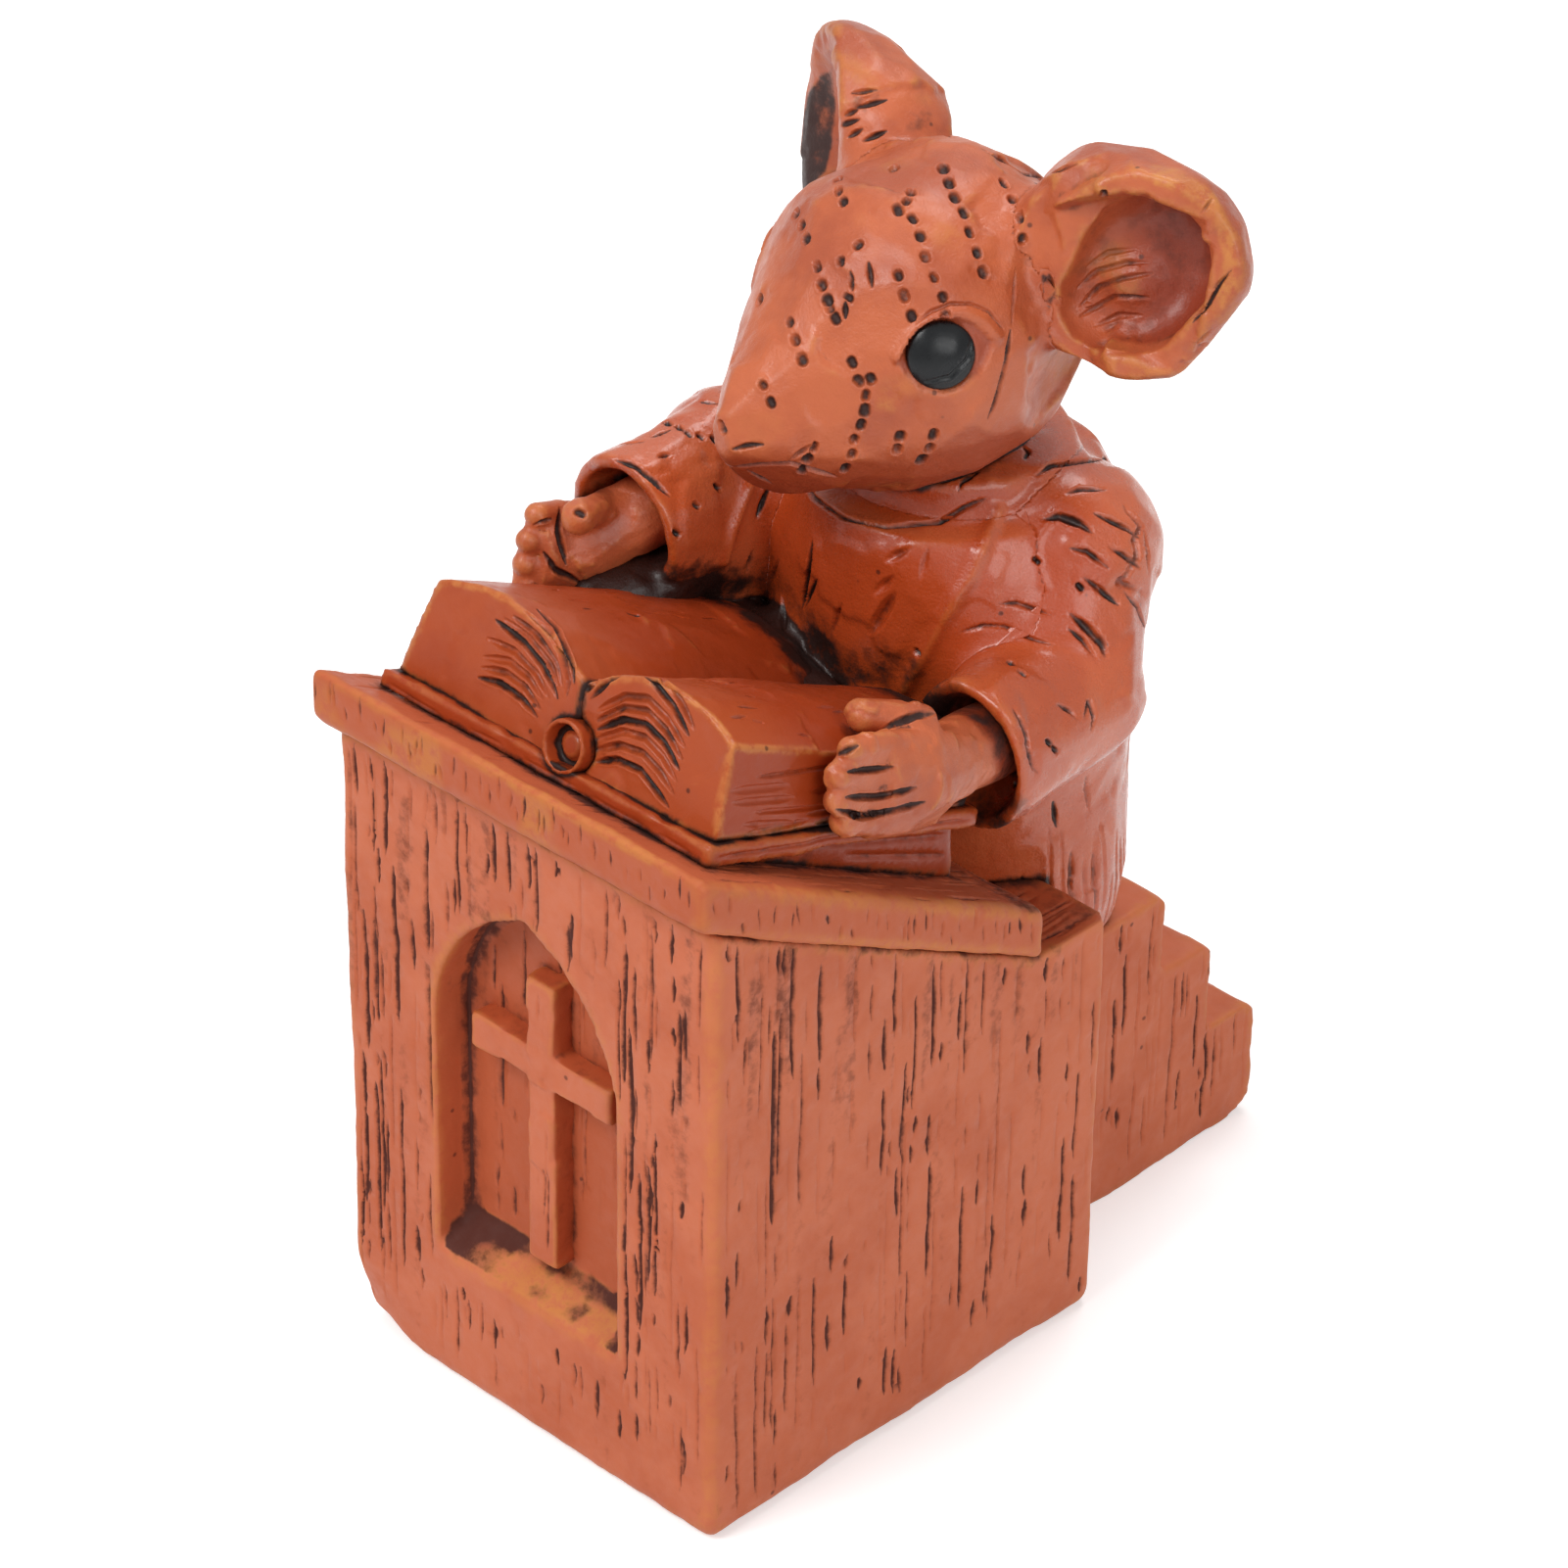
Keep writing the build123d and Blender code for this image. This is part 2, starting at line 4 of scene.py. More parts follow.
import bpy
import numpy as np
from mathutils import Matrix, Vector
from mathutils.bvhtree import BVHTree
from mathutils.kdtree import KDTree

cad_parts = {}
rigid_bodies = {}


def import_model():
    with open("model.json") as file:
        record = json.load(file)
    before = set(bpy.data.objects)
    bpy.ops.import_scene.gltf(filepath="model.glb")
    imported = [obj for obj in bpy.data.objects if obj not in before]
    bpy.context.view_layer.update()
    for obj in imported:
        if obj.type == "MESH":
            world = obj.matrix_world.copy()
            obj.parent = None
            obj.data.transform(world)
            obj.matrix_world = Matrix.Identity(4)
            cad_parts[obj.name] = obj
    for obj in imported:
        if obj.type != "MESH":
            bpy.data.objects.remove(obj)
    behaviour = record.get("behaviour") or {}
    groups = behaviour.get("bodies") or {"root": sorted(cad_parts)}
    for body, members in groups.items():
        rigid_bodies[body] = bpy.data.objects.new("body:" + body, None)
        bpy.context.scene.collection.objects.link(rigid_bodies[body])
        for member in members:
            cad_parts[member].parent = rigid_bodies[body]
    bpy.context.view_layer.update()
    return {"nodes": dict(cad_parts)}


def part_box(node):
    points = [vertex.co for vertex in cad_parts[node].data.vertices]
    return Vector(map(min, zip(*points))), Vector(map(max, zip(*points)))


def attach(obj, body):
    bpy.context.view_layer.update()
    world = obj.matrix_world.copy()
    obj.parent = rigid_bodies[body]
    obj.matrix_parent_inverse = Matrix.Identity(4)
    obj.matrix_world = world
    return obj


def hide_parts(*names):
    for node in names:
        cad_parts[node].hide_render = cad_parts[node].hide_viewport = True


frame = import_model()
mm = 0.001
pixelsPerMm = 13.2  # in the photo, at the part
mostTriangles = 180000  # in one piece
print("frame loaded,", len(frame["nodes"]), "nodes")

photoCamera = {
    "azimuth": 43.846, "elevation": 32.747, "roll": 0.857,  # degrees
    "focal": 5981.522, "picture": 1601, "sensor": 36.0,  # pixels, pixels, mm
    "aside": 4.622, "up": 40.531, "away": 453.126,  # mm
}


def cameraAxes():
    turn, lift, roll = (math.radians(photoCamera[k]) for k in ("azimuth", "elevation", "roll"))
    right = Vector((math.cos(turn), math.sin(turn), 0))
    back = Vector((math.sin(turn) * math.cos(lift), -math.cos(turn) * math.cos(lift), math.sin(lift)))
    over = back.cross(right)
    level = right * math.cos(roll) + over * math.sin(roll)
    upright = over * math.cos(roll) - right * math.sin(roll)
    eye = back * photoCamera["away"] + level * photoCamera["aside"] + upright * photoCamera["up"]
    return level, upright, back, eye


camLevel, camUpright, camBack, camEye = cameraAxes()


def setCamera():
    data = bpy.data.cameras.new("photoCamera")
    data.sensor_width = photoCamera["sensor"]
    data.lens = photoCamera["focal"] / photoCamera["picture"] * photoCamera["sensor"]
    camera = bpy.data.objects.new("photoCamera", data)
    bpy.context.scene.collection.objects.link(camera)
    place = Matrix.Identity(4)
    for k, axis in enumerate((camLevel, camUpright, camBack, camEye * mm)):
        for row in range(3):
            place[row][k] = axis[row]
    camera.matrix_world = place
    bpy.context.scene.camera = camera


setCamera()


# picking, operators and modifiers

def letGo():
    if bpy.context.object and bpy.context.object.mode != "OBJECT":
        bpy.ops.object.mode_set(mode="OBJECT")
    bpy.ops.object.select_all(action="DESELECT")


def take(piece):
    letGo()
    piece.select_set(True)
    bpy.context.view_layer.objects.active = piece


def useModifier(piece, kind, **values):
    step = piece.modifiers.new(kind.title(), kind)
    for name, value in values.items():
        setattr(step, name, value)
    take(piece)
    bpy.ops.object.modifier_apply(modifier=step.name)


def addBlock(name, low, high):
    letGo()
    low, high = Vector(low), Vector(high)
    bpy.ops.mesh.primitive_cube_add(size=1, location=(low + high) / 2 * mm, scale=(high - low) * mm)
    bpy.ops.object.transform_apply(location=True, rotation=True, scale=True)
    piece = bpy.context.object
    piece.name = name
    return piece


def vertexTable(piece):
    table = np.empty(len(piece.data.vertices) * 3, np.float32)
    piece.data.vertices.foreach_get("co", table)
    return table.reshape(-1, 3).astype(float) / mm


def normalTable(piece):
    table = np.empty(len(piece.data.vertices) * 3, np.float32)
    piece.data.vertices.foreach_get("normal", table)
    return table.reshape(-1, 3).astype(float)


def setVertexTable(piece, table):
    piece.data.vertices.foreach_set("co", (table * mm).astype(np.float32).ravel())
    piece.data.update()


def faceTable(piece):
    centre = np.empty(len(piece.data.polygons) * 3, np.float32)
    normal = np.empty_like(centre)
    piece.data.polygons.foreach_get("center", centre)
    piece.data.polygons.foreach_get("normal", normal)
    return centre.reshape(-1, 3).astype(float) / mm, normal.reshape(-1, 3).astype(float)


def edgeTable(piece):
    table = np.empty(len(piece.data.edges) * 2, np.int32)
    piece.data.edges.foreach_get("vertices", table)
    return table.reshape(-1, 2)


def choose(piece, kind, mask):  # leaves the piece in edit mode with just these picked
    take(piece)
    bpy.ops.object.mode_set(mode="EDIT")
    bpy.ops.mesh.select_mode(type=kind)
    bpy.ops.mesh.select_all(action="DESELECT")
    bpy.ops.object.mode_set(mode="OBJECT")
    parts = {"VERT": piece.data.vertices, "EDGE": piece.data.edges, "FACE": piece.data.polygons}[kind]
    parts.foreach_set("select", np.asarray(mask, bool))
    bpy.ops.object.mode_set(mode="EDIT")


def chooseAll(piece):
    take(piece)
    bpy.ops.object.mode_set(mode="EDIT")
    bpy.ops.mesh.select_all(action="SELECT")


def cutAcross(piece, at, along):
    chooseAll(piece)
    bpy.ops.mesh.bisect(plane_co=Vector(at) * mm, plane_no=along)
    letGo()


def shift(piece, mask, by):
    choose(piece, "VERT", mask)
    bpy.ops.transform.translate(value=Vector(by) * mm)
    letGo()


def pullOut(piece, mask, by):
    choose(piece, "FACE", mask)
    bpy.ops.mesh.extrude_region_move(TRANSFORM_OT_translate={"value": Vector(by) * mm})
    letGo()


def roundEdges(piece, mask, radius, steps):
    choose(piece, "EDGE", mask)
    bpy.ops.mesh.bevel(offset=radius * mm, segments=steps, affect="EDGES")
    letGo()


def edgeMiddles(piece):
    ends = vertexTable(piece)[edgeTable(piece)]
    return ends.mean(1), ends[:, 1] - ends[:, 0]


def keepLargest(piece):
    chooseAll(piece)
    bpy.ops.mesh.separate(type="LOOSE")
    letGo()
    family = [o for o in bpy.context.scene.objects if o.name.split(".")[0] == piece.name.split(".")[0]]
    largest = max(family, key=lambda o: len(o.data.vertices))
    piece.data, largest.data = largest.data, piece.data
    for other in family:
        if other != piece:
            bpy.data.objects.remove(other)


def remeshed(piece, voxel, smoothing):
    useModifier(piece, "REMESH", mode="VOXEL", voxel_size=voxel * mm)
    keepLargest(piece)
    if smoothing:
        useModifier(piece, "SMOOTH", factor=0.5, iterations=smoothing)


def castCopy(name, *nodes):  # merged copy of CAD solids, as the blank to carve
    letGo()
    copies = []
    for node in nodes:
        copy = bpy.data.objects.new(name, frame["nodes"][node].data.copy())
        bpy.context.scene.collection.objects.link(copy)
        copy.select_set(True)
        copies.append(copy)
    bpy.context.view_layer.objects.active = copies[0]
    if len(copies) > 1:
        bpy.ops.object.join()
    piece = bpy.context.object
    piece.data.materials.clear()
    for layer in list(piece.data.attributes):
        if layer.name in ("sharp_edge", "sharp_face", "custom_normal"):
            piece.data.attributes.remove(layer)
    chooseAll(piece)
    bpy.ops.mesh.remove_doubles(threshold=0.004 * mm)
    letGo()
    return piece


# carving: what a graver, a punch and a brush of dark wash do to a casting, and painted shade in its hollows and where
# pieces meet

def paintTable(piece, layer):
    store = piece.data.attributes.get(layer) or piece.data.attributes.new(layer, "FLOAT", "POINT")
    values = np.zeros(len(piece.data.vertices), np.float32)
    store.data.foreach_get("value", values)
    return values.astype(float)


def setPaint(piece, layer, values):
    store = piece.data.attributes.get(layer) or piece.data.attributes.new(layer, "FLOAT", "POINT")
    store.data.foreach_set("value", np.clip(values, 0, 1).astype(np.float32))


def paintMore(piece, layer, values):
    setPaint(piece, layer, np.maximum(paintTable(piece, layer), values))


def spread(piece, values, times):
    a, b = edgeTable(piece).T
    size = len(piece.data.vertices)
    count = np.maximum(np.bincount(a, minlength=size) + np.bincount(b, minlength=size), 1)
    for _ in range(times):
        total = np.bincount(a, values[b], size) + np.bincount(b, values[a], size)
        values = 0.5 * values + 0.5 * total / count
    return values


def crestTable(piece, times):  # curvature per mm, above zero on crests
    a, b = edgeTable(piece).T
    points, normals = vertexTable(piece), normalTable(piece)
    size = len(points)
    count = np.maximum(np.bincount(a, minlength=size) + np.bincount(b, minlength=size), 1)
    span = ((points[a] - points[b]) ** 2).sum(1)
    reach = (np.bincount(a, span, size) + np.bincount(b, span, size)) / count
    middle = np.stack([np.bincount(a, points[b, k], size) + np.bincount(b, points[a, k], size)
                       for k in range(3)], 1) / count[:, None]
    crest = 2 * ((points - middle) * normals).sum(1) / np.maximum(reach, 1e-6)
    return spread(piece, crest, times)


def ramp(values, start, end):
    share = np.clip((values - start) / (end - start), 0, 1)
    return share * share * (3 - 2 * share)


def lattice(points, size, seed):  # smooth seeded noise from 0 to 1
    spot = points / size
    base = np.floor(spot).astype(np.int64)
    part = spot - base
    part = part * part * (3 - 2 * part)
    total = np.zeros(len(points))
    for i in (0, 1):
        for j in (0, 1):
            for k in (0, 1):
                code = ((base[:, 0] + i) * 374761393 + (base[:, 1] + j) * 668265263
                        + (base[:, 2] + k) * 2147483629 + seed * 1274126177)
                code = (code ^ (code >> 13)) * 1274126177
                code = code ^ (code >> 16)
                share = (np.where(i, part[:, 0], 1 - part[:, 0]) * np.where(j, part[:, 1], 1 - part[:, 1])
                         * np.where(k, part[:, 2], 1 - part[:, 2]))
                total += share * (code & 0xFFFF) / 65535.0
    return total


def roughen(piece, *layers):  # (height, size, seed) in mm
    points, normals = vertexTable(piece), normalTable(piece)
    lift = sum(height * (lattice(points, size, seed) - 0.5) * 2 for height, size, seed in layers)
    setVertexTable(piece, points + normals * lift[:, None])


def facets(piece, count, most, seed):  # knife-cut planes that meet in soft ridges
    dice = np.random.RandomState(seed)
    points, normals = vertexTable(piece), normalTable(piece)
    calm = np.stack([spread(piece, normals[:, k], 8) for k in range(3)], 1)
    calm /= np.maximum(np.linalg.norm(calm, axis=1), 1e-6)[:, None]
    spots = dice.choice(len(points), count, replace=False)
    tree = KDTree(count)
    for k, spot in enumerate(spots):
        tree.insert(points[spot], k)
    tree.balance()
    near = np.array([[found[1] for found in tree.find_n(p, 5)] for p in points.tolist()])
    lifts = []
    for column in near.T:
        plane = calm[spots[column]]
        slope = np.clip((calm * plane).sum(1), 0.35, 1)
        lifts.append(-((points - points[spots[column]]) * plane).sum(1) / slope)
    lift = spread(piece, np.clip(np.min(lifts, axis=0), -most, most), 2)
    setVertexTable(piece, points + calm * (lift - lift.mean())[:, None])


def fillHollows(piece, times, rate, where=1.0):  # rounds inner corners like soft wax and leaves the crests
    for _ in range(times):
        hollow = np.clip(-crestTable(piece, 3) - 0.04, 0, 0.8) * where
        setVertexTable(piece, vertexTable(piece) + normalTable(piece) * (hollow * rate)[:, None])


def surfaceTree(piece):
    return BVHTree.FromPolygons(vertexTable(piece).tolist(), [tuple(p.vertices) for p in piece.data.polygons])


def evenly(points, step):
    points = np.asarray(points, float)
    runs = np.linalg.norm(np.diff(points, axis=0), axis=1)
    marks = np.concatenate([[0], np.cumsum(runs)])
    count = max(2, int(marks[-1] / step) + 1)
    wanted = np.linspace(0, marks[-1], count)
    return np.stack([np.interp(wanted, marks, points[:, k]) for k in range(points.shape[1])], 1)


def pixelHit(tree, spot):
    across, down = ((spot[k] - photoCamera["picture"] / 2) / photoCamera["focal"] for k in (0, 1))
    way = (camLevel * across - camUpright * down - camBack).normalized()
    return tree.ray_cast(camEye, way)[0]


def fromPhoto(tree, pixels, width, depth, dark):  # one stroke seen in the photo, laid on the surface
    runs, run = [], []
    for spot in evenly(pixels, 2.0):
        hit = pixelHit(tree, spot)
        if hit is None or (run and (hit - run[-1]).length > 1.6):
            runs.append(run)
            run = []
        if hit is not None:
            run.append(hit)
    runs.append(run)
    return [(np.array(r), width, depth, dark) for r in runs if len(r) > 1]


def photoSpots(points):  # where points of the part fall in the photo
    away = points - np.array(camEye)
    size = photoCamera["focal"] / -(away @ np.array(camBack))
    middle = photoCamera["picture"] / 2
    across, rise = size * (away @ np.array(camLevel)), size * (away @ np.array(camUpright))
    return np.stack([middle + across, middle - rise], 1)


def insideOutline(spots, outline):  # distance from the outline, above zero inside it
    outline = np.asarray(outline, float)
    nearest, inside = np.full(len(spots), np.inf), np.zeros(len(spots), bool)
    for start, end in zip(outline, np.roll(outline, -1, 0)):
        run = end - start
        share = np.clip((spots - start) @ run / (run @ run), 0, 1)
        nearest = np.minimum(nearest, np.linalg.norm(spots - start - share[:, None] * run, axis=1))
        crossed = (start[1] > spots[:, 1]) != (end[1] > spots[:, 1])
        inside ^= crossed & (spots[:, 0] < start[0] + (spots[:, 1] - start[1]) / (run[1] or 1e-9) * run[0])
    return np.where(inside, nearest, -nearest)


def seenArea(piece, outline, soft, reach):  # share of each vertex inside an outline drawn over the photo
    points = vertexTable(piece)
    hit = pixelHit(surfaceTree(piece), np.mean(outline, 0))
    if hit is None:
        return np.zeros(len(points))
    share = ramp(insideOutline(photoSpots(points), outline), 0, soft)
    share *= normalTable(piece) @ np.array(camBack) > -0.1
    return share * (np.linalg.norm(points - np.array(hit), axis=1) < reach)


def nudge(piece, moves):  # draws the surface sideways in the photo: (pixel, shift in pixels, reach in mm)
    tree = surfaceTree(piece)
    points = vertexTable(piece)
    perPixel = photoCamera["away"] / photoCamera["focal"]
    for pixel, (across, down), reach in moves:
        hit = pixelHit(tree, pixel)
        if hit is not None:
            near = ramp(np.linalg.norm(points - np.array(hit), axis=1), reach, 0)
            points += np.outer(near, np.array(camLevel * across - camUpright * down) * perPixel)
    setVertexTable(piece, points)


def onSurface(tree, points, width, depth, dark):  # a stroke laid on the nearest surface
    hits = [tree.find_nearest(Vector(p)) for p in evenly(points, 0.3)]
    return (np.array([h[0] for h in hits]), width, depth, dark)


def engrave(piece, lines, cuts=2, burr=0.1):
    samples, facts = [], []
    step = 0.11  # mm between samples of a stroke
    for points, width, depth, dark in lines:
        fine = evenly(points, step)
        point = min(1.4, 0.4 * step * len(fine)) + 0.05  # length of the pointed ends
        for k, spot in enumerate(fine):
            fromEnd = min(k, len(fine) - 1 - k) * step + 0.12
            taper = min(1.0, fromEnd / point) ** 0.7 if len(fine) > 8 else 1.0
            samples.append(spot)
            facts.append((width * (0.3 + 0.7 * taper), depth * taper, dark * (0.6 + 0.4 * taper)))
    tree = KDTree(len(samples))
    for k, spot in enumerate(samples):
        tree.insert(spot, k)
    tree.balance()
    facts = np.array(facts)

    def nearest(points):
        found = [tree.find(p)[1:] for p in points.tolist()]
        return np.array([f[0] for f in found]), np.array([f[1] for f in found])

    if cuts:
        index, away = nearest(faceTable(piece)[0])
        choose(piece, "FACE", away < facts[index, 0] * 0.5 + 0.16)
        bpy.ops.mesh.subdivide(number_cuts=cuts)
        letGo()
    points, normals = vertexTable(piece), normalTable(piece)
    index, away = nearest(points)
    share = away / (facts[index, 0] * 0.5)
    sunk = -facts[index, 1] * np.clip(1 - share ** 2, 0, 1) ** 0.7
    raised = burr * facts[index, 1] * np.clip(1 - np.abs(share - 1.3) / 0.35, 0, 1)
    setVertexTable(piece, points + normals * (sunk + raised)[:, None])
    broken = 0.72 + 0.5 * lattice(points, 0.9, 93)
    paintMore(piece, "washAndShade", facts[index, 2] * broken * np.clip(1.45 - share * 1.1, 0, 1))


def raiseAlong(piece, lines):  # soft ridges: (points, width, height)
    points, normals = vertexTable(piece), normalTable(piece)
    for path, width, height in lines:
        fine = evenly(path, 0.2)
        tree = KDTree(len(fine))
        for k, spot in enumerate(fine):
            tree.insert(spot, k)
        tree.balance()
        boxed = (points > fine.min(0) - 2 * width) & (points < fine.max(0) + 2 * width)
        near = np.nonzero(boxed.all(1))[0]
        away = np.array([tree.find(points[k])[2] for k in near])
        points[near] += normals[near] * (height * np.exp(-(away / width * 2) ** 2))[:, None]
    setVertexTable(piece, points)


nodeTrees = {name: surfaceTree(node) for name, node in frame["nodes"].items()}
nodeBoxes = {name: [np.array(corner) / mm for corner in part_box(name)[:2]] for name in frame["nodes"]}


def contactWashAndShade(piece, own, reach, amount):  # dark wash and painted shade gather where pieces meet
    points = vertexTable(piece)
    dark = np.zeros(len(points))
    for name, tree in nodeTrees.items():
        if name in own:
            continue
        low, high = nodeBoxes[name]
        for k in np.nonzero(((points > low - reach) & (points < high + reach)).all(1))[0]:
            hit = tree.find_nearest(points[k], reach)
            if hit[0] is not None:
                dark[k] = max(dark[k], 1 - hit[3] / reach)
    dark *= 0.55 + 0.9 * lattice(points, 1.3, 91)
    paintMore(piece, "washAndShade", amount * dark)


def wearAndHollow(piece, times, crestFrom, crestTo, wearMost, hollowFrom, hollowTo, hollowDark):
    crest = crestTable(piece, times)
    rubbed = wearMost * ramp(crest, crestFrom, crestTo) * (0.35 + lattice(vertexTable(piece), 4.5, 17))
    paintMore(piece, "wear", rubbed)
    # hollows darkened: dark wash and painted shade
    paintMore(piece, "washAndShade", hollowDark * ramp(-crest, hollowFrom, hollowTo))


def hiddenOnly(tree, lines):  # drops strokes that the photo's camera would see
    kept = []
    for line in lines:
        middle = Vector(line[0][len(line[0]) // 2])
        hit = tree.ray_cast(camEye, (middle - camEye).normalized())[0]
        if hit is None or (hit - middle).length > 0.8:
            kept.append(line)
    return kept


def splitCasting(mass, parts):  # cuts one sculpted mass at the part lines of the CAD castings
    points = vertexTable(mass)
    fields = []
    for node in parts.values():
        tree = nodeTrees[node]
        fields.append(spread(mass, np.array([tree.find_nearest(p)[3] for p in points.tolist()]), 10))
    owner = np.array([[field[list(p.vertices)].mean() for p in mass.data.polygons] for field in fields]).argmin(0)
    made = {}
    for column, name in enumerate(parts):
        piece = bpy.data.objects.new(name, mass.data.copy())
        bpy.context.scene.collection.objects.link(piece)
        choose(piece, "FACE", owner != column)
        bpy.ops.mesh.delete(type="FACE")
        letGo()
        keepLargest(piece)
        before = len(piece.data.polygons)
        chooseAll(piece)
        bpy.ops.mesh.fill_holes(sides=0)
        letGo()
        piece.data.polygons.foreach_set("use_smooth", np.arange(len(piece.data.polygons)) < before)
        made[name] = piece
    bpy.data.objects.remove(mass)
    return made


def hand(piece, node, finish):  # hands a finished piece over to the frame
    points = vertexTable(piece)
    points[:, 2] = np.maximum(points[:, 2], 0)  # nothing below the table
    setVertexTable(piece, points)
    piece.data.calc_loop_triangles()
    if len(piece.data.loop_triangles) > mostTriangles:
        useModifier(piece, "DECIMATE", ratio=mostTriangles / len(piece.data.loop_triangles))
        piece.data.calc_loop_triangles()
    print(piece.name, "has", len(piece.data.loop_triangles), "triangles")
    piece.data.materials.clear()
    piece.data.materials.append(finish)
    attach(piece, "root")
    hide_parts(node)


def smoothFaces(piece):
    piece.data.polygons.foreach_set("use_smooth", np.ones(len(piece.data.polygons), bool))


def dress(piece, look, *own):  # what a casting goes through before its own cuts
    remeshed(piece, *look["remesh"])
    roughen(piece, *look["rough"])
    if "fill" in look:
        fillHollows(piece, *look["fill"])
    if "facets" in look:
        facets(piece, *look["facets"])
    wearAndHollow(piece, *look["wear"])
    if own:
        contactWashAndShade(piece, own, *look["contact"])


def cut(dice, path, width, depth, dark):  # a stroke with its facts drawn from ranges
    return path, dice.uniform(*width), dice.uniform(*depth), dice.uniform(*dark)


def cutAll(piece, lines, cuts):  # lays the strokes on the surface and cuts them
    tree = surfaceTree(piece)
    engrave(piece, [onSurface(tree, *line) for line in lines], cuts)
    smoothFaces(piece)
    return piece


# finishes

def wire(tree, start, output, end, entry):
    tree.links.new(start.outputs[output], end.inputs[entry])


def node(tree, kind, **values):
    made = tree.nodes.new(kind)
    for name, value in values.items():
        if name in made.inputs:
            made.inputs[name].default_value = value
        else:
            setattr(made, name, value)
    return made


def mixColour(tree, factor, first, second):
    mix = tree.nodes.new("ShaderNodeMix")
    mix.data_type = "RGBA"
    tree.links.new(factor, mix.inputs[0])
    tree.links.new(first, mix.inputs[6])
    tree.links.new(second, mix.inputs[7])
    return mix.outputs[2]


def mapped(tree, value, low, high, toLow=0.0, toHigh=1.0):
    step = tree.nodes.new("ShaderNodeMapRange")
    step.interpolation_type = "SMOOTHSTEP"
    for entry, number in zip(step.inputs[1:5], (low, high, toLow, toHigh)):
        entry.default_value = number
    tree.links.new(value, step.inputs[0])
    return step.outputs[0]


def sums(tree, kind, first, second):
    step = tree.nodes.new("ShaderNodeMath")
    step.operation = kind
    for entry, value in zip(step.inputs, (first, second)):
        if isinstance(value, (int, float)):
            entry.default_value = value
        else:
            tree.links.new(value, entry)
    return step.outputs[0]


resinTones = ("Body", "Deep", "Ochre", "WashAndShade")
resinNumbers = ("Patch Scale", "Gloss Low", "Gloss High", "Wear Amount", "Varnish")


def stainedResin():
    group = bpy.data.node_groups.new("stainedResin", "ShaderNodeTree")
    for name in resinTones:
        group.interface.new_socket(name, in_out="INPUT", socket_type="NodeSocketColor")
    for name in resinNumbers:
        group.interface.new_socket(name, in_out="INPUT", socket_type="NodeSocketFloat")
    for name, kind in (("Color", "Color"), ("Roughness", "Float"), ("Coat", "Float"), ("Height", "Float")):
        group.interface.new_socket(name, in_out="OUTPUT", socket_type="NodeSocket" + kind)
    given, out = group.nodes.new("NodeGroupInput"), group.nodes.new("NodeGroupOutput")
    place = group.nodes.new("ShaderNodeTexCoord")
    patches = node(group, "ShaderNodeTexNoise", Detail=4.0, Roughness=0.6)
    wire(group, given, "Patch Scale", patches, "Scale")
    mottle = node(group, "ShaderNodeTexNoise", Scale=900.0, Detail=5.0, Roughness=0.65)
    grit = node(group, "ShaderNodeTexNoise", Scale=5200.0, Detail=3.0, Roughness=0.6)
    specks = node(group, "ShaderNodeTexVoronoi", Scale=420.0)
    for noise in (patches, mottle, grit, specks):
        wire(group, place, "Object", noise, "Vector")
    # the dark layer holds dark wash in the cuts and painted shade in hollows, under things and where pieces meet
    washAndShade, wear, deep = (node(group, "ShaderNodeAttribute", attribute_name=layer).outputs["Fac"]
                         for layer in ("washAndShade", "wear", "deep"))

    toned = sums(group, "MAXIMUM", deep, mapped(group, patches.outputs["Fac"], 0.38, 0.66, 0.0, 0.55))
    base = mixColour(group, toned, given.outputs["Body"], given.outputs["Deep"])
    rub = sums(group, "MULTIPLY", wear, mapped(group, mottle.outputs["Fac"], 0.3, 0.6))
    rub = sums(group, "MULTIPLY", rub, given.outputs["Wear Amount"])
    worn = mixColour(group, rub, base, given.outputs["Ochre"])
    broken = sums(group, "ADD", washAndShade, mapped(group, mottle.outputs["Fac"], 0.3, 0.7, -0.16, 0.16))
    dark = mapped(group, broken, 0.16, 0.8)
    bubble = mapped(group, specks.outputs["Distance"], 0.05, 0.11, 0.7, 0.0)
    rare = mapped(group, specks.outputs["Color"], 0.72, 0.74)
    dark = sums(group, "MAXIMUM", dark, sums(group, "MULTIPLY", bubble, rare))
    washedAndShaded = mixColour(group, dark, worn, given.outputs["WashAndShade"])
    group.links.new(washedAndShaded, out.inputs["Color"])

    gloss = group.nodes.new("ShaderNodeMix")
    gloss.data_type = "FLOAT"
    group.links.new(mapped(group, mottle.outputs["Fac"], 0.3, 0.7), gloss.inputs[0])
    wire(group, given, "Gloss Low", gloss, 2)
    wire(group, given, "Gloss High", gloss, 3)
    dulled = sums(group, "ADD", gloss.outputs[0], mapped(group, dark, 0.3, 1.0, 0.0, 0.14))
    group.links.new(dulled, out.inputs["Roughness"])
    coat = sums(group, "MULTIPLY", given.outputs["Varnish"], mapped(group, dark, 0.2, 0.9, 1.0, 0.15))
    group.links.new(coat, out.inputs["Coat"])
    height = sums(group, "ADD", sums(group, "MULTIPLY", mottle.outputs["Fac"], 0.7),
                  sums(group, "MULTIPLY", grit.outputs["Fac"], 0.3))
    group.links.new(height, out.inputs["Height"])
    return group


resinGroup = stainedResin()


